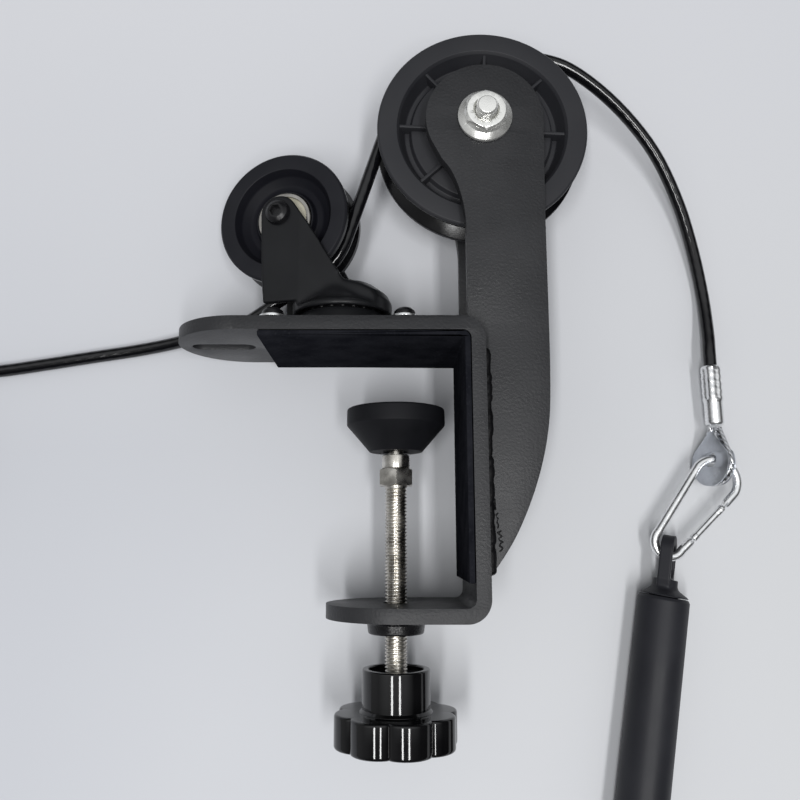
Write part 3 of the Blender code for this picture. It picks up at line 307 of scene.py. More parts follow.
# In each row: slot, dark and light colour, grain size and depth in mm, blotch size in mm,
# roughness from and to, speckle, then metallic, specular and coat where they aren't 0, 0.5 and 0
powder, nylon, rubber = "black_powder_coat", "black_nylon", "black_rubber"
zinc, steel, plastic = "bright_zinc", "satin_black_steel", "gloss_black_plastic"
finishes = {
    "powderCoat": (powder, (0.0165, 0.017, 0.019), (0.0255, 0.026, 0.0285),
        1.0, 0.17, 16, 0.36, 0.5, 0.7, 0, 0.34),
    "weldPaint": (powder, (0.003, 0.003, 0.0036), (0.009, 0.009, 0.0105),
        0.6, 0.1, 5, 0.2, 0.36, 0.4, 0, 0.4),
    # darker than the weld paint: the paint's own black, and painted shade along the upright's seam
    "seamPaintAndShade": (powder, (0.0025, 0.0025, 0.003), (0.006, 0.006, 0.007),
        0.8, 0.12, 6, 0.36, 0.5, 0.3, 0, 0.14),
    "padRubber": (rubber, (0.0085, 0.009, 0.012), (0.0175, 0.0182, 0.0225),
        1.1, 0.22, 9, 0.5, 0.72, 0.9, 0, 0),
    "pulleyNylon": (nylon, (0.018, 0.0185, 0.0225), (0.025, 0.0255, 0.029),
        0.45, 0.018, 26, 0.44, 0.56, 0.15, 0, 0.34),
    # the next two rows are painted shade: darker copies of the nylon for the wheels' groove and bowl
    "grooveShadeNylon": (nylon, (0.0022, 0.0022, 0.0028), (0.005, 0.005, 0.006),
        0.5, 0.01, 14, 0.16, 0.28, 0, 0, 0.45),
    "bowlShadeNylon": (nylon, (0.0062, 0.0064, 0.0095), (0.0092, 0.0095, 0.0128),
        0.45, 0.014, 20, 0.5, 0.62, 0.1, 0, 0.12),
    "smallNylon": (nylon, (0.0105, 0.0108, 0.014), (0.0155, 0.016, 0.0195),
        0.45, 0.015, 18, 0.4, 0.52, 0.1, 0, 0.16),
    "footNylon": (nylon, (0.0055, 0.0058, 0.0072), (0.0095, 0.0098, 0.012),
        0.5, 0.02, 14, 0.5, 0.62, 0.1, 0, 0.14),
    "satinSteel": (steel, (0.0065, 0.0068, 0.008), (0.011, 0.0115, 0.013),
        0.4, 0.012, 20, 0.3, 0.4, 0.1, 0, 0.24),
    "knobGloss": (plastic, (0.003, 0.003, 0.0035), (0.006, 0.006, 0.0065),
        2.6, 0.012, 10, 0.05, 0.11, 0, 0, 0.42, 0.15),
    "blackOxide": (steel, (0.005, 0.005, 0.006), (0.011, 0.011, 0.0125),
        0.3, 0.01, 4, 0.22, 0.36, 0.2, 0, 0.35),
    "gripRubber": ("handle_grip", (0.0165, 0.017, 0.021), (0.0225, 0.023, 0.028),
        0.5, 0.03, 22, 0.42, 0.54, 0.15, 0, 0.22),
    # near-black balls and cage: painted shade standing for the dark race
    "raceShadeSteel": (zinc, (0.002, 0.002, 0.0025), (0.005, 0.005, 0.006),
        0.4, 0.01, 3, 0.25, 0.4, 0.1, 0, 0.15),
    "zincBright": (zinc, (0.78, 0.79, 0.8), (0.94, 0.945, 0.95),
        0.9, 0.05, 6, 0.16, 0.32, 0, 0.92),
    "zincWhite": (zinc, (0.86, 0.86, 0.83), (0.98, 0.98, 0.95),
        0.8, 0.03, 5, 0.2, 0.34, 0, 0.82),
    "zincDull": (zinc, (0.46, 0.48, 0.52), (0.62, 0.65, 0.7),
        0.7, 0.03, 5, 0.28, 0.42, 0, 0.85),
    "nickelRod": ("nickel_screw", (0.42, 0.4, 0.365), (0.8, 0.775, 0.725),
        0.5, 0.02, 5, 0.2, 0.34, 0, 1),
    "bearingSteel": ("bearing_seal", (0.3, 0.29, 0.27), (0.52, 0.5, 0.47),
        0.4, 0.008, 4, 0.18, 0.3, 0, 1),
    "bearingSeal": ("bearing_seal", (0.42, 0.4, 0.31), (0.56, 0.53, 0.43),
        0.5, 0.01, 5, 0.35, 0.5, 0),
    "tieRubber": (rubber, (0.008, 0.008, 0.009), (0.016, 0.016, 0.018),
        0.6, 0.06, 6, 0.6, 0.75, 0.2, 0, 0.25),
}


def makeFinish(
    name, dark, light, grain, depth, blotch, smooth, rough, speckle, metallic=0, specular=0.5, coat=0
):
    made, tree, shader = newMaterial(name)
    values = {"Dark": (*dark, 1), "Light": (*light, 1), "Grain Size": grain, "Grain Depth": depth}
    values |= {"Blotch Size": blotch, "Smooth": smooth, "Rough": rough, "Speckle": speckle}
    cover = wired(tree, "ShaderNodeGroup", values, node_tree=grainGroup).outputs
    values = {"Base Color": cover["Color"], "Roughness": cover["Roughness"], "Normal": cover["Normal"]}
    values |= {"Metallic": metallic, "Specular IOR Level": specular}
    values |= {"Coat Weight": coat, "Coat Roughness": 0.05}
    plug(tree, shader, values)
    return made


layFinishes = {
    "cableJacket": {
        "dark": (0.004, 0.004, 0.005, 1),
        "light": (0.02, 0.02, 0.023, 1),
        "roughness": (0.14, 0.3),
        "strands": 6,
        "lay": 30,
        "depth": 0.012,
        "scuff": 0.3,
        "metallic": 0,
    },
    "bareWire": {
        "dark": (0.66, 0.67, 0.69, 1),
        "light": (0.9, 0.9, 0.92, 1),
        "roughness": (0.2, 0.34),
        "strands": 7,
        "lay": 16,
        "depth": 0.12,
        "scuff": 0.6,
        "metallic": 1,
    },
}


def makeLayFinish(name, look):
    made, tree, shader = newMaterial(name)
    values = {"Strands": look["strands"], "Lay": look["lay"]}
    lay = wired(tree, "ShaderNodeGroup", values, node_tree=layGroup).outputs["Height"]
    bump = wired(tree, "ShaderNodeBump", {"Distance": look["depth"] * mm, "Height": lay}).outputs["Normal"]
    values = {"Size": 3, "Amount": look["scuff"]}
    scuff = wired(tree, "ShaderNodeGroup", values, node_tree=scuffGroup).outputs["Mask"]
    values = {"Base Color": between(tree, scuff, look["dark"], look["light"]), "Normal": bump}
    values |= {"Roughness": ranged(tree, scuff, (0, 1, *look["roughness"])), "Metallic": look["metallic"]}
    plug(tree, shader, values)
    return made


materials = {name: makeFinish(name, *row[1:]) for name, row in finishes.items()}
materials |= {name: makeLayFinish(name, look) for name, look in layFinishes.items()}
print("materials made,", len(materials))


# Shaping


def arc(centreX, centreY, radius, start, end, steps):
    found = []
    for step in range(steps + 1):
        angle = math.radians(start + (end - start) * step / steps)
        found.append((centreX + radius * math.cos(angle), centreY + radius * math.sin(angle)))
    return found


def circle(radius, steps=32, centre=(0, 0)):
    return arc(centre[0], centre[1], radius, 0, 360 - 360 / steps, steps - 1)


def stadium(length, width, centre=(0, 0), steps=12):
    reach = (length - width) / 2
    right = arc(centre[0] + reach, centre[1], width / 2, -90, 90, steps)
    return right + arc(centre[0] - reach, centre[1], width / 2, 90, 270, steps)


# Each corner becomes a small curve; a corner's third number is its own radius
def filleted(corners, radius, steps=3, closed=True):
    made = []
    for i, corner in enumerate(corners):
        here = Vector(corner[:2])
        reach = corner[2] if len(corner) > 2 else radius
        if reach == 0 or (not closed and i in (0, len(corners) - 1)):
            made.append(tuple(here))
            continue
        back = Vector(corners[i - 1][:2]) - here
        ahead = Vector(corners[(i + 1) % len(corners)][:2]) - here
        bend = back.angle(ahead)
        if bend > math.radians(174):
            made.append(tuple(here))
            continue
        cut = min(reach / math.tan(bend / 2), 0.47 * min(back.length, ahead.length))
        first, last = here + back.normalized() * cut, here + ahead.normalized() * cut
        for step in range(steps + 1):
            t = step / steps
            spot = first * (1 - t) ** 2 + here * 2 * t * (1 - t) + last * t**2
            made.append(tuple(spot))
    return made


def mirrored(half):
    return half + [(point[0], -point[1], *point[2:]) for point in reversed(half)]


# A smooth curve through the knots, without its last point; stepsOf says how fine each stretch is
def curved(knots, stepsOf):
    fine = []
    for i in range(1, len(knots) - 2):
        a, b, c, d = knots[i - 1 : i + 3]
        steps = stepsOf(b, c)
        for step in range(steps):
            t = step / steps
            bend = (2 * a - 5 * b + 4 * c - d) * t**2 + (3 * b - a - 3 * c + d) * t**3
            fine.append(0.5 * (2 * b + (c - a) * t + bend))
    return fine


def toMesh(body, merge=2e-6):
    bmesh.ops.remove_doubles(body, verts=body.verts, dist=merge)
    bmesh.ops.recalc_face_normals(body, faces=body.faces)
    mesh = bpy.data.meshes.new("shape")
    body.to_mesh(mesh)
    body.free()
    return mesh


def lathe(profile, steps, closed=True, radiusAt=None):
    body = bmesh.new()
    rings = []
    for radius, height in profile:
        ring = []
        for step in range(steps if radius > 1e-4 else 1):
            angle = math.tau * step / steps
            reach = radiusAt(radius, height, angle) if radiusAt else radius
            spot = (reach * math.cos(angle) * mm, reach * math.sin(angle) * mm, height * mm)
            ring.append(body.verts.new(spot))
        rings.append(ring)
    pairs = list(zip(rings, rings[1:]))
    if closed:
        pairs.append((rings[-1], rings[0]))
    for one, other in pairs:
        for i in range(steps):
            j = (i + 1) % steps
            corners = [one[i % len(one)], one[j % len(one)], other[j % len(other)], other[i % len(other)]]
            corners = list(dict.fromkeys(corners))
            if len(corners) > 2:
                body.faces.new(corners)
    return toMesh(body)


def turnedSolid(profile, steps, radius=0.3, fine=3, **options):  # a profile from pole to pole
    return lathe(filleted(profile, radius, fine, closed=False), steps, False, **options)


def evaluated(thing):
    bpy.context.view_layer.update()
    graph = bpy.context.evaluated_depsgraph_get()
    mesh = bpy.data.meshes.new_from_object(thing.evaluated_get(graph))
    bpy.data.objects.remove(thing)
    return mesh


def plate(outlines, thickness):
    curve = bpy.data.curves.new("outline", "CURVE")
    curve.dimensions = "2D"
    curve.fill_mode = "BOTH"
    curve.extrude = thickness / 2 * mm
    for outline in outlines:
        spline = curve.splines.new("POLY")
        spline.points.add(len(outline) - 1)
        for point, (x, y) in zip(spline.points, outline):
            point.co = (x * mm, y * mm, 0, 1)
        spline.use_cyclic_u = True
    body = bmesh.new()
    body.from_mesh(evaluated(newObject("outline", curve)))
    return toMesh(body)


def moved(mesh, matrix):
    mesh.transform(matrix)
    if matrix.to_3x3().determinant() < 0:
        mesh.flip_normals()
    return mesh


# Booleans first, then whatever other modifiers the piece needs
def worked(mesh, cuts=(), joins=(), keeps=(), **modifiers):
    thing = newObject("work", mesh)
    helpers = []
    for how, meshes in (("UNION", joins), ("DIFFERENCE", cuts), ("INTERSECT", keeps)):
        for other in meshes:
            helpers.append(newObject("helper", other))
            step = thing.modifiers.new(how, "BOOLEAN")
            step.operation, step.solver, step.object = how, "EXACT", helpers[-1]
    for kind, settings in modifiers.items():
        step = thing.modifiers.new(kind, kind.upper())
        for key, value in settings.items():
            setattr(step, key, value)
    made = evaluated(thing)
    for helper in helpers:
        bpy.data.objects.remove(helper)
    return made


def edged(width, segments=2, angle=40):
    reach = {"width": width * mm, "segments": segments, "use_clamp_overlap": True}
    return {**reach, "limit_method": "ANGLE", "angle_limit": math.radians(angle)}


def melted(mesh, voxel, iterations):
    remesh = {"mode": "VOXEL", "voxel_size": voxel * mm}
    return worked(mesh, remesh=remesh, smooth={"factor": 0.5, "iterations": iterations})


def box(x, y, z, centre=(0, 0, 0)):
    body = bmesh.new()
    size = Matrix.Diagonal((x * mm, y * mm, z * mm, 1))
    bmesh.ops.create_cube(body, size=1, matrix=Matrix.Translation(Vector(centre) * mm) @ size)
    return toMesh(body)


def prism(sides, radius, low, high, turn=0.0):
    angles = [turn + math.tau * i / sides for i in range(sides)]
    made = plate([[(radius * math.cos(angle), radius * math.sin(angle)) for angle in angles]], high - low)
    return moved(made, Matrix.Translation((0, 0, (high + low) / 2 * mm)))


def joined(*meshes):
    body = bmesh.new()
    for mesh in meshes:
        body.from_mesh(mesh)
    made = bpy.data.meshes.new("joined")
    body.to_mesh(made)
    body.free()
    return made


# A painted mesh keeps the finishes that its faces already have
def addPiece(name, mesh, finish, body, *nodes, slot=None, sharp=32, painted=False):
    mesh.name = name
    if not painted:
        mesh.materials.clear()
        mesh.materials.append(materials[finish])
    mesh.shade_smooth()
    mesh.set_sharp_from_angle(angle=math.radians(sharp))
    piece = newObject(name, mesh)
    if nodes:
        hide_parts(*nodes)
    if body:
        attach(piece, body)
    return piece


# Geometry Nodes trees

solid, cover = ("Geometry", "Geometry"), ("Finish", "Material")


def newGrowth(name, *inputs):
    return newTree(name, "GeometryNodeTree", [solid, *inputs, cover], [solid])


def endTree(tree, geometry, given, result):
    real = wired(tree, "GeometryNodeRealizeInstances", {"Geometry": geometry}).outputs["Geometry"]
    painted = wired(tree, "GeometryNodeSetMaterial", {"Geometry": real, "Material": given["Finish"]})
    plug(tree, result, {"Geometry": painted.outputs["Geometry"]})
    return tree


def copiesAt(tree, points, shape, **more):
    values = {"Points": points, "Instance": shape, **more}
    return wired(tree, "GeometryNodeInstanceOnPoints", values).outputs["Instances"]


# Copies of one shape round its own Z axis
def makeRingTree():
    tree, given, result = newGrowth("copiesInRing", ("Count", "Int", 8), ("Start", "Float", 0.0))
    points = wired(tree, "GeometryNodePoints", {"Count": given["Count"]}).outputs[0]
    share = maths(tree, "DIVIDE", wired(tree, "GeometryNodeInputIndex").outputs[0], given["Count"])
    angle = maths(tree, "MULTIPLY_ADD", share, math.tau, given["Start"])
    turn = wired(tree, "ShaderNodeCombineXYZ", {"Z": angle}).outputs[0]
    return endTree(tree, copiesAt(tree, points, given["Geometry"], Rotation=turn), given, result)


# Copies of one shape at the corners of a rectangle
def makeCornerTree():
    tree, given, result = newGrowth("copiesAtCorners", ("Width", "Float", 0.05), ("Depth", "Float", 0.03))
    values = {"Vertices X": 2, "Vertices Y": 2, "Size X": given["Width"], "Size Y": given["Depth"]}
    grid = wired(tree, "GeometryNodeMeshGrid", values).outputs["Mesh"]
    return endTree(tree, copiesAt(tree, grid, given["Geometry"]), given, result)


# A screw thread: a tube whose radius follows a helix
def makeThreadTree():
    sizes = [("Length", "Float", 0.05), ("Core", "Float", 0.0034), ("Depth", "Float", 0.0006)]
    sizes += [("Pitch", "Float", 0.00125), ("Rings", "Int", 400)]
    tree, given, result = newGrowth("screwThread", *sizes)
    values = {"Size X": 1, "Size Y": 1, "Vertices X": given["Rings"], "Vertices Y": 33}
    grid = wired(tree, "GeometryNodeMeshGrid", values).outputs["Mesh"]
    way = splitWay(tree, wired(tree, "GeometryNodeInputPosition").outputs[0])
    height = maths(tree, "MULTIPLY", maths(tree, "ADD", way["X"], 0.5), given["Length"])
    angle = maths(tree, "MULTIPLY", way["Y"], math.tau)
    turns = maths(tree, "SUBTRACT", maths(tree, "DIVIDE", height, given["Pitch"]), way["Y"])
    phase = maths(tree, "MULTIPLY_ADD", maths(tree, "FRACT", turns), 2.0, -1.0)
    crest = maths(tree, "MULTIPLY", maths(tree, "ABSOLUTE", phase), 1.35)
    level = maths(tree, "MINIMUM", crest, 1.0)
    radius = maths(tree, "MULTIPLY_ADD", level, given["Depth"], given["Core"])
    spot = {"X": maths(tree, "MULTIPLY", maths(tree, "COSINE", angle), radius), "Z": height}
    spot["Y"] = maths(tree, "MULTIPLY", maths(tree, "SINE", angle), radius)
    spot = wired(tree, "ShaderNodeCombineXYZ", spot).outputs[0]
    shape = wired(tree, "GeometryNodeSetPosition", {"Geometry": grid, "Position": spot}).outputs["Geometry"]
    return endTree(tree, shape, given, result)


# Lumps of weld set along a line
def makeBeadTree():
    sizes = [("Spacing", "Float", 0.0012), ("Size", "Float", 0.0017), ("Seed", "Int", 3)]
    tree, given, result = newGrowth("weldBeads", *sizes)
    curve = wired(tree, "GeometryNodeMeshToCurve", {"Mesh": given["Geometry"]}).outputs["Curve"]
    values = {"Curve": curve, "Length": given["Spacing"]}
    even = wired(tree, "GeometryNodeResampleCurve", values, mode="LENGTH").outputs["Curve"]
    values = {"Subdivisions": 3, "Radius": given["Size"]}
    lump = wired(tree, "GeometryNodeMeshIcoSphere", values).outputs["Mesh"]
    values = {2: 0.75, 3: 1.2, "Seed": given["Seed"]}
    size = wired(tree, "FunctionNodeRandomValue", values, data_type="FLOAT").outputs[1]
    return endTree(tree, copiesAt(tree, even, lump, Scale=size), given, result)


def grown(mesh, tree, finish, **values):
    thing = newObject("grown", mesh)
    step = thing.modifiers.new("Nodes", "NODES")
    step.node_group = tree
    sockets = {s.name: s.identifier for s in tree.interface.items_tree if s.in_out == "INPUT"}
    step[sockets["Finish"]] = materials[finish]
    for label, value in values.items():
        step[sockets[label]] = value
    made = evaluated(thing)
    made.materials.clear()
    return made


ringTree = makeRingTree()
cornerTree = makeCornerTree()
threadTree = makeThreadTree()
beadTree = makeBeadTree()
thread = {"radius": 4, "pitch": 1.25, "depth": 0.62, "ringsPerTurn": 8}


def threadMesh(low, high):
    values = {"Length": (high - low) * mm, "Core": (thread["radius"] - thread["depth"]) * mm}
    values |= {"Depth": thread["depth"] * mm, "Pitch": thread["pitch"] * mm}
    rings = int((high - low) / thread["pitch"] * thread["ringsPerTurn"])
    empty = bpy.data.meshes.new("thread")
    body = bmesh.new()
    body.from_mesh(grown(empty, threadTree, "nickelRod", Rings=rings, **values))
    bmesh.ops.remove_doubles(body, verts=body.verts, dist=1e-6)
    bmesh.ops.holes_fill(body, edges=body.edges, sides=0)
    return moved(toMesh(body), shifted(0, 0, low))


print("shaping tools ready")


# Cables: routes repeat the ones of the model, in mm on the bench

cable = {
    "radius": 2.5,
    "largeCentre": (35.4, 157.0, 27.4),
    "largeWrap": 36.9,
    "smallWrap": 24.5,
    "swivel": (-18.6, 25.0),
    "restTurn": -14.5,  # degrees about +Y
    "trail": 22.0,
    "axleHeight": 123.2,
    "layOff": 88.0,
    "leaveSmall": 60.0,
    "forkReach": 33.3,
    "coilCentre": (-206.5, 30.7),
    "coilRadius": 35.75,
    "coilPitch": 5.5,
    "coilLow": 3.7,
    "turnsIn": 2.75,
    "turnsOut": 3.0,
    "endHeight": 8.4,
    "spacing": 2.5,
    "bendEnd": (-116, 74.5, 2.7),  # where the left run no longer follows the fork
}
rightRoute = [(128.2, 68.8, 8.4), (128.2, 73.8, 8.4), (129, 83, 6.6), (129.3, 99.8, 3.6)]
rightRoute += [(126.1, 119.4, 4.8), (120.3, 138.6, 8), (110.9, 157.2, 12.6), (98.9, 171.2, 17.4)]
rightRoute += [(84.8, 182.6, 22), (70.4, 190.3, 25.6), (56, 193.2, 27.2)]
leftRoute = [(-62, 84.5, 13.4), (-71, 82.3, 10.2), (-81, 80.4, 6.8), (-92, 78.4, 4.2)]
leftRoute += [(-106, 76.1, 2.9), (-122.5, 73.6, 2.7), (-141, 70.6, 2.7), (-160, 67.8, 2.7)]
leftRoute += [(-176, 66.8, 2.9), (-190, 66.5, 3.4)]

swivelTurn = turned(cable["restTurn"], "Y")
forkPlace = standing(cable["swivel"][0], 0, cable["swivel"][1]) @ swivelTurn


def smoothRoute(points):
    points = [Vector(p) for p in points]
    first, last = points[0], points[-1]
    wayIn = (points[1] - first).normalized() * (points[2] - points[1]).length
    wayOut = (last - points[-2]).normalized() * (points[-2] - points[-3]).length
    knots = [points[2] - 2 * wayIn, *points[1:-1], points[-3] + 2 * wayOut]
    fine = curved(knots, lambda b, c: max(2, round((c - b).length / cable["spacing"])))
    return [first, *fine, knots[-2], last]


# How far the cable between both pulleys leans, found in a few rounds
def cableLean(sizes):
    lean = math.radians(20)
    for _ in range(20):
        across = sizes["largeCentre"][0] - sizes["swivel"][0] - sizes["largeWrap"] * math.cos(lean)
        slack = sizes["trail"] - sizes["smallWrap"] * math.cos(lean)
        across += slack * math.cos(math.radians(sizes["restTurn"]))
        along = sizes["largeCentre"][1] - sizes["axleHeight"]
        along += (sizes["largeWrap"] + sizes["smallWrap"]) * math.sin(lean)
        lean = math.atan2(across, along)
    return lean


# Inwards on the bench, half a turn up, then outwards on the second layer
def coilRoute(sizes, perTurn=60):
    pitch, inTurns = sizes["coilPitch"], sizes["turnsIn"]
    inner = sizes["coilRadius"] - pitch * inTurns
    found = []
    for step in range(round((inTurns + 0.5 + sizes["turnsOut"]) * perTurn) + 1):
        turn = step / perTurn
        climb = (turn - inTurns) / 0.5
        if climb <= 0:
            radius, lift = sizes["coilRadius"] - pitch * turn, 0.0
        elif climb < 1:
            radius = inner - pitch / math.tau * math.sin(math.pi * climb)
            lift = pitch * (1 - math.cos(math.pi * climb)) / 2
        else:
            radius, lift = inner + pitch * (turn - inTurns - 0.5), pitch
        angle = math.pi / 2 + math.tau * turn
        x, y = sizes["coilCentre"]
        spot = (x + radius * math.cos(angle), y + radius * math.sin(angle), sizes["coilLow"] + lift)
        found.append(Vector(spot))
    return found


# A tube of even twist along a route, with a UV map that runs along and round it
def sweep(route, radius, sides=16, radiusAt=None):
    body = bmesh.new()
    uv = body.loops.layers.uv.new("lay")
    last = len(route) - 1
    ways = [(route[min(i + 1, last)] - route[max(i - 1, 0)]).normalized() for i in range(len(route))]
    side = ways[0].orthogonal().normalized()
    rings, lengths, total = [], [], 0.0
    for i, (point, way) in enumerate(zip(route, ways)):
        if i:
            total += (point - route[i - 1]).length
            side = (side - way * side.dot(way)).normalized()
        up = way.cross(side)
        ring = []
        for step in range(sides):
            angle = math.tau * step / sides
            reach = radiusAt(total, angle) if radiusAt else radius
            ring.append(body.verts.new(point + (side * math.cos(angle) + up * math.sin(angle)) * reach))
        rings.append(ring)
        lengths.append(total)
    for i in range(last):
        for step in range(sides):
            after = (step + 1) % sides
            face = body.faces.new((rings[i][step], rings[i][after], rings[i + 1][after], rings[i + 1][step]))
            spots = [(i, step), (i, step + 1), (i + 1, step + 1), (i + 1, step)]
            for loop, (at, turn) in zip(face.loops, spots):
                loop[uv].uv = (lengths[at] / mm, turn / sides)
    body.faces.new(list(reversed(rings[0])))
    body.faces.new(rings[-1])
    bmesh.ops.recalc_face_normals(body, faces=body.faces)
    mesh = bpy.data.meshes.new("sweep")
    body.to_mesh(mesh)
    body.free()
    return mesh


def onBench(points):
    return [bench(*p) for p in points]


def makeCables(sizes):
    lean = cableLean(sizes)
    centre = Vector(sizes["largeCentre"])
    start, end = math.radians(sizes["layOff"]), math.pi - lean
    wrapLarge = []
    for step in range(31):
        angle = start + (end - start) * step / 30
        wrapLarge.append(centre + sizes["largeWrap"] * Vector((math.cos(angle), math.sin(angle), 0)))
    wayOff = Vector((math.sin(start), -math.cos(start), 0))
    straightEnd = 2 * sizes["radius"]
    lead = 2 * straightEnd + 0.3
    top = wrapLarge[0] + wayOff * lead

    wheel = Vector((-sizes["trail"], sizes["axleHeight"], 0))
    leave = math.radians(sizes["leaveSmall"])
    wrapSmall = []
    for step in range(13):
        angle = -(lean + (leave - lean) * step / 12)
        wrapSmall.append(wheel + sizes["smallWrap"] * Vector((math.cos(angle), math.sin(angle), 0)))
    away = Vector((-math.sin(leave), -math.cos(leave), 0))
    run = (-sizes["forkReach"] - wrapSmall[-1].x) / away.x
    offset = Vector((sizes["swivel"][0], 0, sizes["swivel"][1]))
    turn = swivelTurn.to_3x3()
    small = [turn @ p + offset for p in wrapSmall]
    forkEnd = turn @ (wrapSmall[-1] + away * run) + offset

    straight = [wrapLarge[-1].lerp(small[0], step / 16) for step in range(1, 12)]
    meet = straight[-1]
    overLine = [top, top.lerp(wrapLarge[0], 0.34), top.lerp(wrapLarge[0], 0.67), *wrapLarge, *straight]
    underLine = [meet.lerp(small[0], step / 5) for step in range(5)]
    underLine += [*small, *(small[-1].lerp(forkEnd, step / 4) for step in range(1, 5))]
    coil = coilRoute(sizes)
    leftPoints = [forkEnd, forkEnd + (turn @ away) * straightEnd, *leftRoute]
    leftPoints += [coil[0] + Vector((lead, 0, 0)), coil[0] + Vector((straightEnd, 0, 0))]
    last = coil[-1]
    tail = [last + Vector((0, -straightEnd - 0.3, 0)), last + Vector((0, -lead, 0))]
    tail += [(last.x, y, sizes["endHeight"]) for y in (8, 0, -5)]
    lines = {
        "right": onBench(smoothRoute([*rightRoute, top + wayOff * straightEnd, top])),
        "over": onBench(overLine),
        "under": onBench(underLine),
        "left": onBench([*smoothRoute(leftPoints), *coil, *smoothRoute(tail)]),
    }

    def laid(word, body, *nodes, sides=20):
        mesh = sweep(lines[word.lower()], sizes["radius"] * mm, sides)
        return addPiece("cable" + word, mesh, "cableJacket", body, *nodes)

    over = laid("Over", None, "cable_over_pulley")
    laid("Under", "fork", "cable_under_pulley")
    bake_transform(over)
    right = laid("Right", "frame", "cable_right_run")
    left = laid("Left", None, "cable_left_run", "cable_coil", "cable_end_run", sides=16)
    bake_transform(left)
    return right, left, lines


cableRight, cableLeft, cableLines = makeCables(cable)
print("cables laid")


# Clamp frame

strap = {
    "width": 50,
    "thickness": 5,
    "armTip": strapCorner[0],
    "armTop": strapCorner[1],
    "upright": 33,
    "footArm": -27,
    "bend": 8,
    "slot": (24, 8, -63.5),  # length, width, x
    "screwHole": (1.8, 4.6),  # x, radius
    "edge": 0.55,
    "topCut": (66, 84),  # what is cut through either arm reaches from, to
    "footCut": (-33, -16),
}
screwPlace = lying(strap["screwHole"][0], 0, middle)


def strapOutline(sizes):
    top, low, bend = sizes["armTop"], sizes["footArm"], sizes["bend"]
    inner = bend - sizes["thickness"]
    x, footTip = sizes["upright"] - bend, sizes["screwHole"][0] - sizes["width"] / 2
    outline = [(sizes["armTip"], top - sizes["thickness"]), (sizes["armTip"], top)]
    outline += arc(x, top - bend, bend, 90, 0, 14) + arc(x, low + bend, bend, 0, -90, 14)
    outline += [(footTip, low), (footTip, low + sizes["thickness"])]
    return outline + arc(x, low + bend, inner, -90, 0, 8) + arc(x, top - bend, inner, 0, 90, 8)


def throughArm(outline, low, high):
    return moved(plate([outline], high - low), lying(0, (low + high) / 2, middle))


def tipCutter(middleX, low, high, half=25, spare=14):
    outline = [(middleX, -half - spare), *arc(middleX, 0, half, 270, 90, 48), (middleX, half + spare)]
    outline += [(middleX - half - spare, half + spare), (middleX - half - spare, -half - spare)]
    return throughArm(outline, low, high)


def makeStrap(sizes):
    body = moved(plate([strapOutline(sizes)], sizes["width"]), standing(0, 0, sizes["width"] / 2))
    length, width, x = sizes["slot"]
    screwX, screwR = sizes["screwHole"]
    cuts = [
        tipCutter(sizes["armTip"] + sizes["width"] / 2, *sizes["topCut"]),
        tipCutter(screwX, *sizes["footCut"]),
        throughArm(stadium(length, width, (x, 0)), *sizes["topCut"]),
        throughArm(circle(screwR, 32, (screwX, 0)), *sizes["footCut"]),
    ]
    body = worked(body, cuts=cuts, bevel=edged(sizes["edge"], 3))
    addPiece("strapFrame", body, "powderCoat", "frame", "clamp_bracket")


pad = {"thickness": 2, "start": -46.7, "end": -14, "gap": 0.3, "edge": 0.35}


def makePad(sizes):
    thickness, gap = sizes["thickness"], sizes["gap"]
    high = strap["armTop"] - strap["thickness"] - gap
    side = strap["upright"] - strap["thickness"] - gap
    bendX, bendY = strap["upright"] - strap["bend"], strap["armTop"] - strap["bend"]
    back = strap["bend"] - strap["thickness"] - gap
    outline = [(sizes["start"], high), *arc(bendX, bendY, back, 90, 0, 8), (side, sizes["end"])]
    outline += [(side - thickness, sizes["end"]), *arc(bendX, bendY, back - thickness, 0, 90, 4)]
    outline += [(sizes["start"], high - thickness)]
    body = moved(plate([outline], strap["width"] - 0.2), standing(0, 0, middle))
    body = worked(body, bevel=edged(sizes["edge"], 2))
    addPiece("jawLining", body, "padRubber", "frame", "jaw_pad")


nut = {"bore": 4.3, "flange": 11.1, "body": 10.4, "high": -27.3, "low": -32.6}


def makeNut(sizes):
    high, low = sizes["high"], sizes["low"]
    profile = [(sizes["bore"], high, 0), (sizes["flange"], high, 0.3), (sizes["flange"], high - 1.4, 0.5)]
    profile += [(sizes["body"], high - 1.8, 0.4), (sizes["body"] - 0.5, low, 0.8), (sizes["bore"], low, 0.4)]
    body = moved(lathe(filleted(profile, 0.4), 72), screwPlace)
    addPiece("weldNut", body, "weldPaint", "frame", "screw_nut")


# Beads along the upright's edge: x, y from and to, then their spacing, size, seed and voxel.
# Beside them the spatter's worms: x, y, swing and number of points
weld = {
    "x": 33.9,
    "heights": (-10, 10, 30, 50, 66),
    "bead": (1.4, 1.7, 3, 0.45, 14),
    "worms": [(35.5, 14, 0.2, 7), (36.1, 9, 0.5, 9), (36.9, 3, 0.6, 12)],
    "worm": (0.3, 0.36, 8, 0.17, 2),
    "sides": (("Front", 43.3, 1), ("Rear", 6.7, -1)),
}


def weldLine(name, points, spacing, size, seed, voxel, smooth):
    path = bpy.data.meshes.new("seam")
    path.from_pydata(onBench(points), [(i, i + 1) for i in range(len(points) - 1)], [])
    lumps = grown(path, beadTree, "weldPaint", Spacing=spacing * mm, Size=size * mm, Seed=seed)
    # Beads and spatter take the darker seam finish: black weld paint, with painted shade along the upright's
    # seam
    addPiece(name, melted(lumps, voxel, smooth), "seamPaintAndShade", "frame", sharp=60)


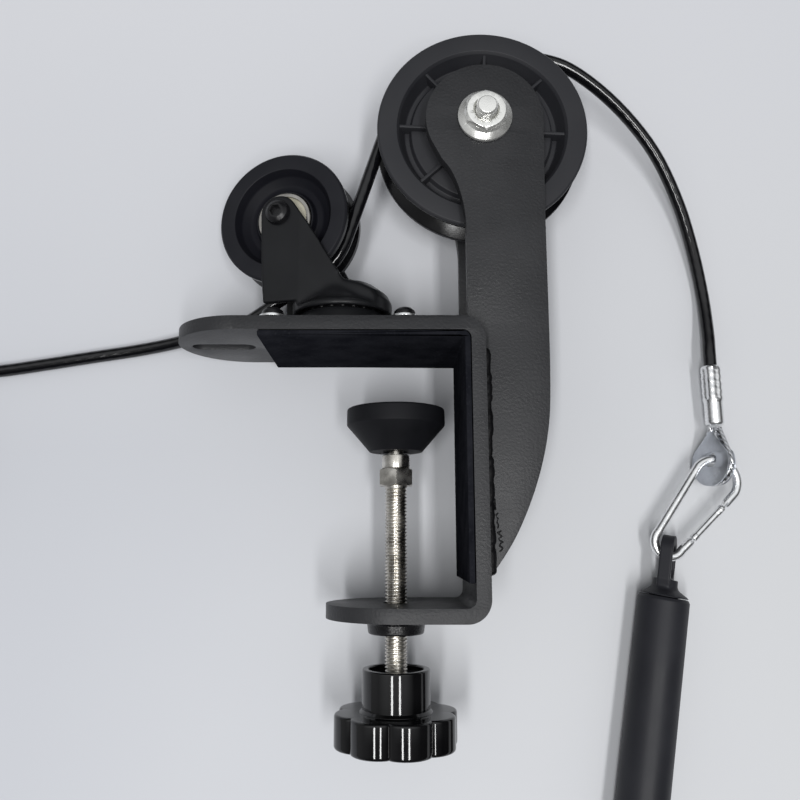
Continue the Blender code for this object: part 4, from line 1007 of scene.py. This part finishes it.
def makeWelds(sizes):
    spacing, size, seed, voxel, smooth = sizes["worm"]
    for word, z, out in sizes["sides"]:
        weldLine("weldUpright" + word, [(sizes["x"], y, z) for y in sizes["heights"]], *sizes["bead"])
        for part, (x, y, swing, count) in enumerate(sizes["worms"]):
            turns = [math.sin(1.9 * i + part) + 0.7 * math.sin(4.3 * i) for i in range(count)]
            worm = []
            for i, turn in enumerate(turns):
                worm.append((x + swing * turn + 0.05 * i, y - 0.62 * i, z - 0.5 * out))
            weldLine(f"weldSpatter{word}{part}", worm, spacing, size, seed + part, voxel, smooth)


makeStrap(strap)
makePad(pad)
makeNut(nut)
makeWelds(weld)
print("clamp frame made")


# Clamp screw

screw = {"ballY": 37, "ball": 5, "socket": 7, "hexTop": 25.7, "hexLow": 19.4, "hexCorner": 6.8, "end": -66}


def makeScrew(sizes):
    high, low = sizes["hexTop"], sizes["hexLow"]
    ball = arc(0, sizes["ballY"], sizes["ball"], 90, -56, 12)
    neck = [(2.8, 31.2), (2.8, 30.5), (4.1, 30.4), (4.3, 30.1), (4.3, 26.6), (4.1, 26.1), (4.1, 25), (0, 25)]
    stem = lathe([*ball, *neck], 48, closed=False)
    chamfer = [(0, high), (5.9, high), (6.95, 25), (6.95, 20.1), (5.9, low), (0, low)]
    hexagon = prism(6, sizes["hexCorner"], low, high, math.pi / 2)
    hexagon = worked(hexagon, keeps=[lathe(filleted(chamfer, 0), 48, False)])
    hexagon = worked(hexagon, bevel=edged(0.18, 2, 25))
    rod = threadMesh(sizes["end"], 19.6)
    shoulder = lathe(filleted([(0, 19.9), (4.1, 19.9), (4.1, 18.9), (3.5, 18.2), (0, 18.2)], 0), 40, False)
    body = moved(joined(stem, hexagon, rod, shoulder), screwPlace)
    addPiece("clampScrew", body, "nickelRod", "screw", "clamp_screw", sharp=28)
    collar = filleted([(4.6, 30.7, 0.1), (5.1, 30.7, 0.2), (5.1, 26, 0.2), (4.6, 26, 0.1)], 0.2)
    collar = moved(lathe(collar, 56), screwPlace)
    addPiece("screwCollar", collar, "nickelRod", "screw_carrier", "screw_collar", slot=zinc)


def makeFoot(sizes):
    opening = math.degrees(math.asin(-5 / sizes["socket"]))
    hollow = arc(0, sizes["ballY"], sizes["socket"], opening, 90, 12)
    corners = [(0, 47.9, 0), (18.2, 47.9, 0.9), (18.2, 41.8, 0.7), (9.75, 32, 0.5), (hollow[0][0], 32, 0.2)]
    profile = filleted(corners, 0.5, 4, closed=False)
    body = moved(lathe([*profile, *hollow[1:]], 96, closed=False), screwPlace)
    addPiece("clampFoot", body, "footNylon", "foot", "clamp_foot")


knob = {
    "radius": 21.9,
    "lobes": 8,
    "turn": 15,
    "depth": 2.5,
    "disc": (-58.5, -70.0),
    "rim": 1.1,
    "hub": 12,
    "top": -44.4,
    "bore": 4.15,
}


def makeKnob(sizes):
    high, low = sizes["disc"]
    outer, rim, hub, top = sizes["radius"], sizes["rim"], sizes["hub"], sizes["top"]

    def lobed(radius, height, angle):
        swell = abs(math.cos(sizes["lobes"] / 2 * (angle - math.radians(sizes["turn"])))) ** 0.7
        return radius - sizes["depth"] * (1 - swell) * radius / outer

    disc = [(0, high - 0.2, 0), (11, high - 0.2, 0), (outer, high, rim), (outer, low, rim + 0.3)]
    disc = turnedSolid([*disc, (0, low, 0)], 192, 1, 5, radiusAt=lobed)
    boss = [(0, -46.9, 0), (9.6, -46.9, 0.4), (9.6, top, 0.5), (hub, top, 0.7), (hub, -57.6, 0.2)]
    boss += [(hub + 0.9, -58.6, 0.6), (hub + 0.9, -60, 0), (0, -60, 0)]
    body = worked(disc, joins=[turnedSolid(boss, 96, 0.5, 4)], cuts=[prism(48, sizes["bore"], -66.3, -40)])
    addPiece("lobedKnob", moved(body, screwPlace), "knobGloss", "screw", "knob")


makeScrew(screw)
makeFoot(screw)
makeKnob(knob)
print("clamp screw made")


# Large pulley

cheek = {"centre": (35.4, 157), "radius": 22.2, "thickness": 5, "gap": 26, "hole": 4.3, "edge": 0.5}
cheekBend = (25, 69.2, 8.3)  # x, y and radius of the corner over the strap's bend
leftEdge = [(18.5, 141), (22.2, 136), (24.6, 130.5), (26.2, 125), (27.2, 119.5), (27.7, 114)]
rightEdge = [(57.5, 150), (56.9, 120), (56.6, 75), (56.4, 60), (55.9, 47), (54.9, 37.7), (52.9, 27.9)]
rightEdge += [(50, 18.2), (46.6, 9.5), (43.2, 2.3), (39.8, -3.5), (34.6, -11)]
pulleyPlace = standing(*cable["largeCentre"])


def curveThrough(points):
    knots = [Vector((*p, 0)) for p in points]
    knots = [2 * knots[0] - knots[1], *knots, 2 * knots[-1] - knots[-2]]
    return [*((spot.x, spot.y) for spot in curved(knots, lambda b, c: 6)), tuple(points[-1])]


def makeCheeks(sizes):
    x, y = sizes["centre"]
    bendX, bendY, back = cheekBend
    notch = math.degrees(math.acos((leftEdge[-1][0] - bendX) / back))
    outline = arc(x, y, sizes["radius"], 0, 207.8, 72) + curveThrough(leftEdge)[1:]
    outline += arc(bendX, bendY, back, notch, 0, 10) + [(bendX + back, -11)]
    outline += list(reversed(curveThrough(rightEdge)))
    hole = circle(sizes["hole"], 40, sizes["centre"])
    for word, side in (("Front", 1), ("Rear", -1)):
        body = plate([outline, hole], sizes["thickness"])
        body = moved(body, standing(0, 0, middle + side * (sizes["gap"] + sizes["thickness"]) / 2))
        body = worked(body, bevel=edged(sizes["edge"], 3, 30))
        addPiece("cheek" + word, body, "powderCoat", "frame", "pulley_cheek_" + word.lower())


def chamferedHex(across, low, high, chamferTop=0.8, chamferLow=0.0):
    corner = across / 2 / math.cos(math.pi / 6)
    flat = across / 2 - 0.1
    profile = [(0, high), (flat, high), (corner + 0.05, high - chamferTop)]
    if chamferLow:
        profile += [(corner + 0.05, low + chamferLow), (flat, low), (0, low)]
    else:
        profile += [(corner + 0.05, low), (0, low)]
    hexagon = prism(6, corner, low - 0.5, high + 0.5, math.pi / 2)
    return worked(hexagon, keeps=[lathe(profile, 60, closed=False)])


bolt = {"outer": 18.3, "head": 13, "nut": 14.5, "nutHeight": 5.6, "flange": 10.25, "end": 27, "core": 3.4}


def makeBolt(sizes):
    place = standing(*cheek["centre"], middle)
    outer, core, end, radius = sizes["outer"], sizes["core"], sizes["end"], thread["radius"]
    shank = lathe([(0, end - 1.4), (core, end - 1.4), (core, -outer - 1), (0, -outer - 1)], 40, False)
    sleeve = lathe([(0, 20), (radius, 20), (radius, -outer - 1), (0, -outer - 1)], 40, False)
    crown = [(0, end, 0), (3.3, end, 0.3), (3.9, end - 0.6, 0.3), (core, end - 1.6, 0), (0, end - 1.6, 0)]
    crown = lathe(filleted(crown, 0.3), 40, False)
    head = worked(chamferedHex(sizes["head"], -outer - 5.3, -outer, 0.1, 0.9), bevel=edged(0.2, 2, 25))
    body = moved(joined(sleeve, shank, threadMesh(20, 26.6), crown, head), place)
    addPiece("pulleyBolt", body, "zincWhite", "frame", "pulley_bolt", sharp=28)

    flange = [(0, outer + 3.6, 0), (7.3, outer + 3.6, 0), (8, outer + 2.7, 0.6)]
    flange += [(sizes["flange"], outer + 1.2, 0.3), (sizes["flange"], outer, 0.2), (0, outer, 0)]
    top = outer + sizes["nutHeight"]
    hexagon = worked(chamferedHex(sizes["nut"], outer + 1, top, 1.1), bevel=edged(0.22, 2, 25))
    cone = [(0, top + 0.4), (5.3, top + 0.4), (4.3, top - 0.8), (4.3, outer - 1), (0, outer - 1)]
    body = worked(turnedSolid(flange, 72), joins=[hexagon], cuts=[lathe(cone, 48, False)])
    body = moved(worked(body, bevel=edged(0.12, 1, 50)), place)
    addPiece("flangeNut", body, "zincWhite", "frame", "pulley_flange_nut", sharp=28)


# Faces of a wheel's groove, and of a deep bowl, get a darker finish: painted shade in these recesses
def shadeWheelRecesses(mesh, place, within, reach, finish, bowl=(0, 0)):
    mesh.materials.clear()
    for name in (finish, "grooveShadeNylon", "bowlShadeNylon"):
        mesh.materials.append(materials[name])
    back = place.inverted()
    for face in mesh.polygons:
        spot = back @ face.center
        out = spot.xy.length / mm
        groove = abs(spot.z) < reach * mm and out > within
        face.material_index = 1 if groove else 2 if bowl[0] < out < bowl[1] else 0
    return mesh


def makeBearings(size, offset, place):
    race = mirrored([(9.3, 3.5, 0.1), (10.6, 3.5, 0.1), (11, 3.1, 0.2)])
    seal = [(6.5, 3.0, 0.1), (7.0, 3.15, 0.1), (8.8, 3.15, 0.1), (9.25, 2.9, 0.1), (9.25, 2.4, 0.1)]
    seal.append((6.5, 2.4, 0.1))
    for word, side in (("Front", 1), ("Rear", -1)):

        def seen(profile):
            facing = [(p[0], side * (offset + p[1]), *p[2:]) for p in profile][::side]
            return moved(lathe(filleted(facing, 0.1), 64), place)

        node = f"{size}_bearing_outer_{word.lower()}"
        addPiece(f"{size}Race{word}", seen(race), "bearingSteel", f"{size}_pulley", node)
        addPiece(f"{size}Seal{word}", seen(seal), "bearingSeal", f"{size}_pulley")


largePulley = {
    "ribs": 8,
    "ribWidth": 1.3,
    "ribHeight": 14,
    "ribReach": (13.2, 33.2),
    "ribTurn": -3.0,
    "bearings": 5.0,
}


def makeLargePulley(sizes):
    half = [(9.6, 1.2, 0.2), (11.2, 1.2, 0), (11.2, 8.5, 0.3), (14.6, 8.5, 0.5), (15.4, 4.4, 0.6)]
    half += [(27.4, 4.4, 0.5), (28.2, 2.2, 0.4), (30.0, 2.2, 0.6), (32.3, 7.5, 0.3), (33.2, 8.5, 0.3)]
    half += [(40.1, 8.5, 0.5), (40.8, 7.8, 0.4), (40.8, 6.2, 0.4), (36.5, 3.8, 0.9), (34.1, 1.3, 0.9)]
    wheel = lathe(filleted(mirrored(half), 0.4, 3), 144)
    inner, outer = sizes["ribReach"]
    rib = box(outer - inner, sizes["ribWidth"], sizes["ribHeight"], ((inner + outer) / 2, 0, 0))
    rib = worked(rib, bevel=edged(0.35, 2))
    ribs = grown(rib, ringTree, "pulleyNylon", Count=sizes["ribs"], Start=math.radians(sizes["ribTurn"]))
    body = moved(worked(wheel, joins=[ribs]), pulleyPlace)
    body = shadeWheelRecesses(body, pulleyPlace, 33.7, 7.0, "pulleyNylon")
    addPiece("largeWheel", body, "pulleyNylon", "large_pulley", "large_pulley", sharp=30, painted=True)
    makeBearings("large", sizes["bearings"], pulleyPlace)


makeCheeks(cheek)
makeBolt(bolt)
makeLargePulley(largePulley)
print("large pulley made")


# Swivel

swivel = {"screws": (-19.2, 48.4, 24.0), "balls": 21, "ballCircle": 13.5, "ball": 1.9, "ballHeight": 84.6}
swivelX = cable["swivel"][0]
swivelPlace = lying(swivelX, 0, middle)
screwsX, screwsWidth, screwsDepth = swivel["screws"]


def makeCasterPlate():
    outline = filleted([(-30, -17.5), (30, -17.5), (30, 17.5), (-30, 17.5)], 5, 8)
    holes = [circle(8, 32)]
    for x in (screwsWidth / 2, -screwsWidth / 2):
        for z in (screwsDepth / 2, -screwsDepth / 2):
            holes.append(circle(2.4, 24, (screwsX - swivelX + x, z)))
    base = moved(plate([outline, *holes], 2), shifted(0, 0, 78.5))
    race = [(5.3, 83.2, 0.2), (11.2, 83.2, 0.4), (12.2, 82.1, 0.6), (14.8, 82.1, 0.6), (15.8, 83.2, 0.4)]
    race += [(16.6, 83.2, 0.5), (17.6, 79.6, 0.6), (17.6, 78.6, 0), (5.3, 78.6, 0)]
    body = worked(base, joins=[lathe(filleted(race, 0.3), 96)])
    body = moved(worked(body, bevel=edged(0.35, 2, 50)), swivelPlace)
    addPiece("swivelPlate", body, "satinSteel", "frame", "caster_plate")


def makeCasterScrews():
    head = [(0, 83.6, 0), (2.6, 83.6, 0.8), (3.8, 82.5, 0.8), (4.1, 81, 0.2), (2, 81, 0)]
    head = turnedSolid([*head, (2, 72.6, 0.3), (0, 72.6, 0)], 48, 0.3, 4)
    head = worked(head, cuts=[prism(6, 1.5, 82.0, 85)])
    ring = lathe(filleted([(2.4, 80.7), (5, 80.7), (5, 79.8), (2.4, 79.8)], 0.15), 48)
    kinds = [("Screws", head, "screw", "blackOxide"), ("Washers", ring, "washer", "zincBright")]
    for name, part, node, finish in kinds:
        copies = grown(part, cornerTree, finish, Width=screwsWidth * mm, Depth=screwsDepth * mm)
        nodes = [f"caster_{node}_{i}" for i in range(1, 5)]
        addPiece("plate" + name, moved(copies, lying(screwsX, 0, middle)), finish, "frame", *nodes)


def makeBallRing(sizes):
    body = bmesh.new()
    spot = shifted(sizes["ballCircle"], 0, sizes["ballHeight"])
    bmesh.ops.create_uvsphere(body, u_segments=24, v_segments=16, radius=sizes["ball"] * mm, matrix=spot)
    # The steel balls and their cage are painted near black: painted shade in the race
    balls = grown(toMesh(body), ringTree, "raceShadeSteel", Count=sizes["balls"], Start=0.0)
    cage = lathe([(12.6, 85.5), (14.9, 85.5), (14.9, 83.7), (12.6, 83.7)], 64)
    body = moved(worked(balls, joins=[cage]), swivelPlace)
    addPiece("ballRing", body, "raceShadeSteel", "frame", "swivel_ball_ring")


def makeKingpin():
    profile = [(0, 98, 0), (4.8, 98, 0.5), (6, 97.2, 0.3), (6, 96.4, 0.1), (5, 96.4, 0)]
    body = moved(turnedSolid([*profile, (5, 77.6, 0.2), (0, 77.6, 0)], 48), swivelPlace)
    addPiece("kingpin", body, "satinSteel", "frame", "swivel_kingpin")


fork = {
    "inner": 11,
    "thickness": 2.5,
    "head": 7.2,
    "foldX": -13,
    "foldIn": 0.09,  # the gusset leans inwards by this share beyond the fold
    "voxel": 0.4,
    "root": (85.2, 98, 9, -12),  # y from and to, |z| and x beyond which each leg's root is softened
    "softening": 40,
}
crownShape = [(5.3, 96.1), (7, 96.1), (12.7, 94.9), (17.6, 91.1), (19, 88.2), (19, 83.5), (17.4, 83.5)]
crownShape += [(17.4, 84.9), (15.8, 86.2), (14.6, 87), (5.3, 87)]
flareShape = [(11.4, 99), (22, 99), (22, 84.6), (19, 85.7), (17, 86.5), (15.3, 87.9), (13.7, 90), (12.4, 93)]
flareShape += [(11.4, 96.5)]
trail, axleHeight = cable["trail"], cable["axleHeight"]


def forkLeg(sizes):
    outline = [(-27.2, 87.7), (-27.9, 94), (-28.6, 108)]
    outline += arc(-trail, axleHeight, sizes["head"], 180, 36, 18)
    outline += [(-10.6, 119.1), (-5.7, 111.2), (-0.4, 102), (5.5, 93.2), (9.5, 90.5), (9.5, 87.7)]
    body = bmesh.new()
    body.from_mesh(plate([outline, circle(3.3, 24, (-trail, axleHeight))], sizes["thickness"]))
    everything = [*body.verts, *body.edges, *body.faces]
    fold = sizes["foldX"] * mm
    bmesh.ops.bisect_plane(body, geom=everything, plane_co=(fold, 0, 0), plane_no=(1, 0, 0))
    aside = (sizes["inner"] + sizes["thickness"] / 2) * mm
    for vert in body.verts:
        vert.co.z += aside - max(0, vert.co.x - fold) * sizes["foldIn"]
    return toMesh(body)


def makeFork(sizes):
    crown = moved(lathe(filleted(crownShape, 0.7), 96), quarter)
    flare = moved(lathe(filleted(flareShape, 0), 96), quarter)
    reach, fold = sizes["inner"] + sizes["thickness"] - 0.15, sizes["foldX"]
    edge = reach - (30 - fold) * sizes["foldIn"]  # the space between the legs follows their lean
    outline = [(-30, -reach), (fold, -reach), (30, -edge), (30, edge), (fold, reach), (-30, reach)]
    space = moved(plate([outline], 60), shifted(0, 90, 0) @ turned(90, "X"))
    flare = worked(flare, cuts=[space])
    front = forkLeg(sizes)
    rear = moved(front.copy(), Matrix.Diagonal((1, 1, -1, 1)))
    body = melted(worked(worked(crown, cuts=[flare]), joins=[front, rear]), sizes["voxel"], 5)

    low, high, aside, start = (value * mm for value in sizes["root"])
    soft = bmesh.new()  # the pressed root of each leg flows into the crown
    soft.from_mesh(body)
    root = [v for v in soft.verts if low < v.co.y < high and abs(v.co.z) > aside and v.co.x > start]
    axes = {f"use_axis_{axis}": True for axis in "xyz"}
    for _ in range(sizes["softening"]):
        bmesh.ops.smooth_vert(soft, verts=root, factor=0.5, **axes)
    soft.to_mesh(body)
    soft.free()
    addPiece("swivelFork", moved(body, forkPlace), "satinSteel", "fork", "swivel_fork", sharp=70)


axlePlace = forkPlace @ shifted(-trail, axleHeight, 0)


def makeAxle(outer=13.8):
    head = [(0, outer + 2.8, 0), (2.9, outer + 2.8, 0.9), (4.5, outer + 1.7, 0.9), (5, outer, 0.3)]
    head += [(3, outer, 0), (3, -19.2, 0.4), (0, -19.2, 0)]
    body = worked(turnedSolid(head, 56, 0.3, 4), cuts=[prism(6, 2.3, outer + 1, outer + 4)])
    addPiece("axleBolt", moved(body, axlePlace), "blackOxide", "fork", "axle_bolt", slot=plastic)
    body = chamferedHex(10, -outer - 4.4, -outer, 0.3, 0.8)
    body = worked(body, cuts=[prism(40, 3.25, -21, -12)], bevel=edged(0.15, 2, 25))
    addPiece("axleNut", moved(body, axlePlace), "blackOxide", "fork", "axle_nut", sharp=28)


def makeSmallPulley():
    half = [(9.6, 0.6, 0.2), (11.2, 0.6, 0), (11.2, 7.2, 0.3), (11.9, 6.9, 0.3), (12.6, 4.2, 1)]
    half += [(15.2, 4, 2), (18.4, 6.4, 2), (20, 9.75, 0.4), (25.5, 9.75, 0.5), (26.3, 8.9, 0.4)]
    half += [(26.3, 6.9, 0.4), (24, 3.5, 0.9), (21.7, 1.2, 0.9)]
    wheel = moved(lathe(filleted(mirrored(half), 0.4, 4), 120), axlePlace)
    wheel = shadeWheelRecesses(wheel, axlePlace, 20.5, 8.6, "smallNylon", (11.5, 19.6))
    addPiece("smallWheel", wheel, "smallNylon", "small_pulley", "small_pulley", sharp=30, painted=True)
    makeBearings("small", 4.3, axlePlace)


makeCasterPlate()
makeCasterScrews()
makeBallRing(swivel)
makeKingpin()
makeFork(fork)
makeAxle()
makeSmallPulley()
print("swivel and small pulley made")


# Cable ends

fitting = {
    "end": (128.2, 68.5, 8.4),
    "ferrule": 23.9,
    "wire": 1.4,
    "eye": 7.5,
    "reach": 15.3,
    "roll": -66.0,
    "lean": -5.0,
    "small": (106.6, -0.8, 9.4),
    "large": (126.0, 22.33, 9.4),
    "leftSmallHeight": 2.8,  # the left carabiner's small end lies on the bench
    "leftTilt": 10.7,
    "rod": 1.7,
    "gateRod": 1.5,
    "smallRadius": 5.6,
    "largeRadius": 8.6,
    "span": 30.2,
    "gate": (6.2, 24.9),
}


def flat(x, y, z=0):
    return Vector((x, y, z)) * mm


def eyeRoute(radius, top, steps=28):
    neck = 1.6
    slope = math.degrees(math.atan2(radius - neck, top))
    points = [(neck, top), (neck, top - 1), *arc(0, 0, radius, slope, -180 - slope, steps)]
    return [flat(*p) for p in [*points, (-neck, top - 1), (-neck, top)]]


def rounder(route):  # cuts the corners off an open route
    smooth = [route[0]]
    for a, b in zip(route, route[1:]):
        smooth += [a.lerp(b, 0.25), a.lerp(b, 0.75)]
    return [*smooth, route[-1]]


def pressed(radius, height, angle):  # crimp dents on the ferrule
    if -13.6 < height < -1.2:
        dent = abs(math.cos(2.5 * angle + 0.4)) ** 3
        ripple = 0.1 * math.sin(height * 2.1 + 2 * angle) + 0.06 * math.sin(height * 5.3 - 7 * angle)
        return radius - 0.42 * dent + ripple
    return radius


# A channel bent round the eye: its section is swept along the teardrop
def thimbleMesh(sizes, top, wall=0.55, half=2.0, lip=0.55):
    path = eyeRoute(sizes["eye"], top - 5.5, 40)
    clear = sizes["wire"] + 0.3
    back = -clear - wall
    section = [(0.9, half), (back + 0.35, half), (back, half - 0.5)]
    section += [(back, -half + 0.5), (back + 0.35, -half), (0.9, -half)]
    section += [(lip, -half + 0.35), (-0.4, -half + 0.32)]
    section += [(-clear * math.cos(a), clear * math.sin(a)) for a in (-0.9, -0.5, 0, 0.5, 0.9)]
    section += [(-0.4, half - 0.32), (lip, half - 0.35)]
    body = bmesh.new()
    rings = []
    for i, point in enumerate(path):
        ahead = (path[min(i + 1, len(path) - 1)] - path[max(i - 1, 0)]).normalized()
        out = Vector((ahead.y, -ahead.x, 0))
        if out.dot(point) < 0:
            out = -out
        rings.append([body.verts.new(point + (out * x + Vector((0, 0, y))) * mm) for x, y in section])
    for one, other in zip(rings, rings[1:]):
        for i in range(len(section)):
            j = (i + 1) % len(section)
            body.faces.new((one[i], one[j], other[j], other[i]))
    body.faces.new(rings[0])
    body.faces.new(list(reversed(rings[-1])))
    return toMesh(body, 1e-7)


def makeCableEnd(word, end, sizes):
    side = word.lower()
    sleeve = [(0, 0, 0), (3.1, 0, 0), (3.4, -0.2, 0.2), *((3.8, -0.9 - 0.6 * i, 0) for i in range(22))]
    sleeve += [(3.8, -14, 0.4), (3.5, -15, 0.4), (3.5, -23.1, 0.5), (3.1, -sizes["ferrule"], 0.2)]
    body = turnedSolid([*sleeve, (0, -sizes["ferrule"], 0)], 72, 0.2, 2, radiusAt=pressed)
    body = moved(body, Matrix.Translation(end) @ quarter)
    addPiece("ferrule" + word, body, "zincBright", "frame", "ferrule_" + side, sharp=40)

    lean, eye, top = math.radians(sizes["lean"]), sizes["eye"], sizes["reach"] - 0.9
    centre = Vector((math.sin(lean), -math.cos(lean), 0)) * sizes["reach"] * mm
    centre.y -= sizes["ferrule"] * mm
    loop = Matrix.Translation(end + centre) @ turned(sizes["lean"], "Z") @ turned(sizes["roll"], "Y")
    wire = moved(sweep(rounder(eyeRoute(eye, top)), sizes["wire"] * mm, 16), loop)
    addPiece("wireEye" + word, wire, "bareWire", "frame", "wire_eye_" + side)
    outline = [(p.x / mm, p.y / mm) for p in eyeRoute(eye + 1.5, top - 2.2, 40)]
    web = worked(plate([outline, circle(2.9, 32, (0.3, 1.3))], 0.7), bevel=edged(0.25, 2, 50))
    channel = moved(joined(thimbleMesh(sizes, top), moved(web, shifted(0, 0, 2.3))), loop)
    addPiece("thimble" + word, channel, "zincDull", "frame", "thimble_" + side, sharp=50)


def makeGate(thick, length):
    neck = thick - 0.12
    bar = [(0, thick, 0), (0.95, thick - 0.15, 0.4), (thick, 0.4, 0.6), (thick, -2.2, 0.2)]
    bar += [(neck, -2.6, 0.2), (neck, -length + 2.6, 0.2), (thick, -length + 2.2, 0.2)]
    bar.append((thick, -length + 0.3, 0.3))
    bar = moved(turnedSolid([*bar, (0, -length, 0)], 40), quarter)
    pin = turnedSolid([(0, 1.75, 0), (0.65, 1.75, 0.2), (0.65, -1.75, 0.2), (0, -1.75, 0)], 24, 0.2)
    return joined(bar, moved(pin, shifted(0, -0.7, 0)))


def makeCarabiner(word, shift, sizes, tilt=0.0):
    side = word.lower()
    start = bench(*sizes["small"]) + shift
    way = bench(*sizes["large"]) + shift - start
    if tilt:
        start.z = sizes["leftSmallHeight"] * mm
    place = Matrix.Translation(start) @ Matrix.Rotation(math.atan2(way.y, way.x) - math.pi / 2, 4, "Z")
    place = place @ turned(tilt, "X")
    small, big, span = sizes["smallRadius"], sizes["largeRadius"], sizes["span"]
    lean = math.asin((big - small) / span)
    slope = math.degrees(lean)
    nose, hinge = ((small / math.cos(lean) + math.tan(lean) * height, height) for height in sizes["gate"])
    points = [nose, *arc(0, 0, small, slope, -180 - slope, 28)]
    points += [*arc(0, span, big, 180 - slope, slope, 34), hinge]
    route = [flat(*p) for p in points]
    total = sum((b - a).length for a, b in zip(route, route[1:]))

    def radiusAt(along, angle):  # both ends are drawn down a little
        edge = min(along, total - along) / mm
        return (sizes["rod"] - 0.35 * max(0, 1 - edge / 0.8)) * mm

    def nearEnd(end, after):
        return [end + (after - end).normalized() * step * mm for step in (0.25, 0.55, 0.9)]

    first, last = nearEnd(route[0], route[1]), nearEnd(route[-1], route[-2])
    route = [route[0], *first, *route[1:-1], *reversed(last), route[-1]]
    along = (Vector((*nose, 0)) - Vector((*hinge, 0))).normalized()
    turnEnd = Matrix.Rotation(math.atan2(along.y, along.x) + math.pi / 2, 4, "Z")
    slits = [moved(box(1.0, 2.8, 4.4), Matrix.Translation(flat(*spot)) @ turnEnd) for spot in (nose, hinge)]
    rod = worked(sweep(route, sizes["rod"] * mm, 24, radiusAt), cuts=slits)
    addPiece("carabiner" + word, moved(rod, place), "zincBright", "frame", "carabiner_" + side, sharp=40)

    thick = sizes["gateRod"]
    pivot = Vector((*hinge, 0)) + along * (thick + 0.3)
    gate = makeGate(thick, (Vector((*nose, 0)) - pivot).length - 0.3)
    gate = moved(gate, place @ Matrix.Translation(pivot * mm) @ turnEnd)
    addPiece("gate" + word, gate, "zincBright", "gate_" + side, "gate_" + side)


rightEnd = bench(*fitting["end"])
leftEnd = cableLines["left"][-1] + Vector((0, -0.3 * mm, 0))
makeCableEnd("Right", rightEnd, fitting)
makeCableEnd("Left", leftEnd, fitting)
makeCarabiner("Right", Vector((0, 0, 0)), fitting)
makeCarabiner("Left", leftEnd - rightEnd, fitting, fitting["leftTilt"])


tie = {"gap": 0.8, "reach": 2.8, "band": 0.7, "width": 9}


def makeTie(sizes):
    radius, pitch = cable["coilRadius"], cable["coilPitch"]
    inner = radius - pitch * cable["turnsIn"] - cable["radius"] - sizes["gap"]
    outer = radius + pitch / 4 + cable["radius"] + sizes["gap"]
    low, high = cable["coilLow"] - sizes["reach"], cable["coilLow"] + pitch + sizes["reach"]

    def loop(extra, corner):
        x, y = (outer - inner) / 2 + extra, (high - low) / 2 + extra
        return filleted([(-x, -y), (x, -y), (x, y), (-x, y)], corner, 8)

    body = worked(plate([loop(sizes["band"], 3), loop(0, 2.3)], sizes["width"]), bevel=edged(0.2, 2, 50))
    x, y = cable["coilCentre"]
    place = standing(x, y - (inner + outer) / 2, (low + high) / 2) @ turned(90, "Z") @ turned(90, "X")
    addPiece("coilTie", moved(body, place), "tieRubber", "frame", "coil_tie")


makeTie(tie)
print("cable ends made")


# Handle

handle = {"radius": 9.4, "length": 125, "turn": -9.9, "offset": 0.1, "tilt": -28.0, "voxel": 0.36}


def makeHandle(sizes):
    outer, end = sizes["radius"], -sizes["length"]
    place = standing(*fitting["small"][:2], outer) @ turned(sizes["turn"], "Z")
    place = place @ shifted(sizes["offset"], 0, 0)
    core = [(0, -14), (4.5, -14), (4.6, -16.6), (5.2, -17.7), (8.5, -19.7), (8.9, -20.2)]
    core = moved(lathe([*core, (5, -20.2), (5, -26), (0, -26)], 72, False), quarter)
    eye = [(5.6, -14), *arc(0, -3, 5.6, 0, 180, 24), (-5.6, -14), (-4.4, -17), (4.4, -17)]
    hole = [(y, x) for x, y in stadium(12.6, 7.2, (-7.4, 0), 10)]
    tongue = worked(plate([eye, hole], 4.6), bevel=edged(1.9, 5))
    tongue = moved(tongue, turned(90 + sizes["tilt"], "Y"))
    head = melted(worked(core, joins=[tongue]), sizes["voxel"], 3)
    floor = end + 4
    rod = moved(lathe([(0, -25), (5, -25), (5, floor), (0, floor)], 48, False), quarter)
    addPiece("handleHead", moved(joined(head, rod), place), "gripRubber", "handle", "handle_core", sharp=60)

    grip = [(0, floor - 0.3, 0), (5.3, floor - 0.3, 0), (5.3, -20.5, 0.2), (outer - 0.7, -20.5, 0.6)]
    grip += [(outer, -21.6, 0.8), (outer, end, 2.4), (0, end, 0)]
    grip = moved(turnedSolid(grip, 96, 0.4, 6), place @ quarter)
    addPiece("handleGrip", grip, "gripRubber", "handle", "handle_grip")


makeHandle(handle)
print("handle made")


# Pieces whose model shape is kept

ends = ("front", "rear")
keptNodes = {f"pulley_spacer_{end}": "zincBright" for end in ends}
keptNodes |= {f"{size}_bearing_inner_{end}": "bearingSteel" for size in ("large", "small") for end in ends}
keptNodes |= {"axle_sleeve": "zincBright", "ball_socket": "footNylon"}
for node, finish in keptNodes.items():
    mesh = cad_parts[node].data
    mesh.materials.clear()
    mesh.materials.append(materials[finish])
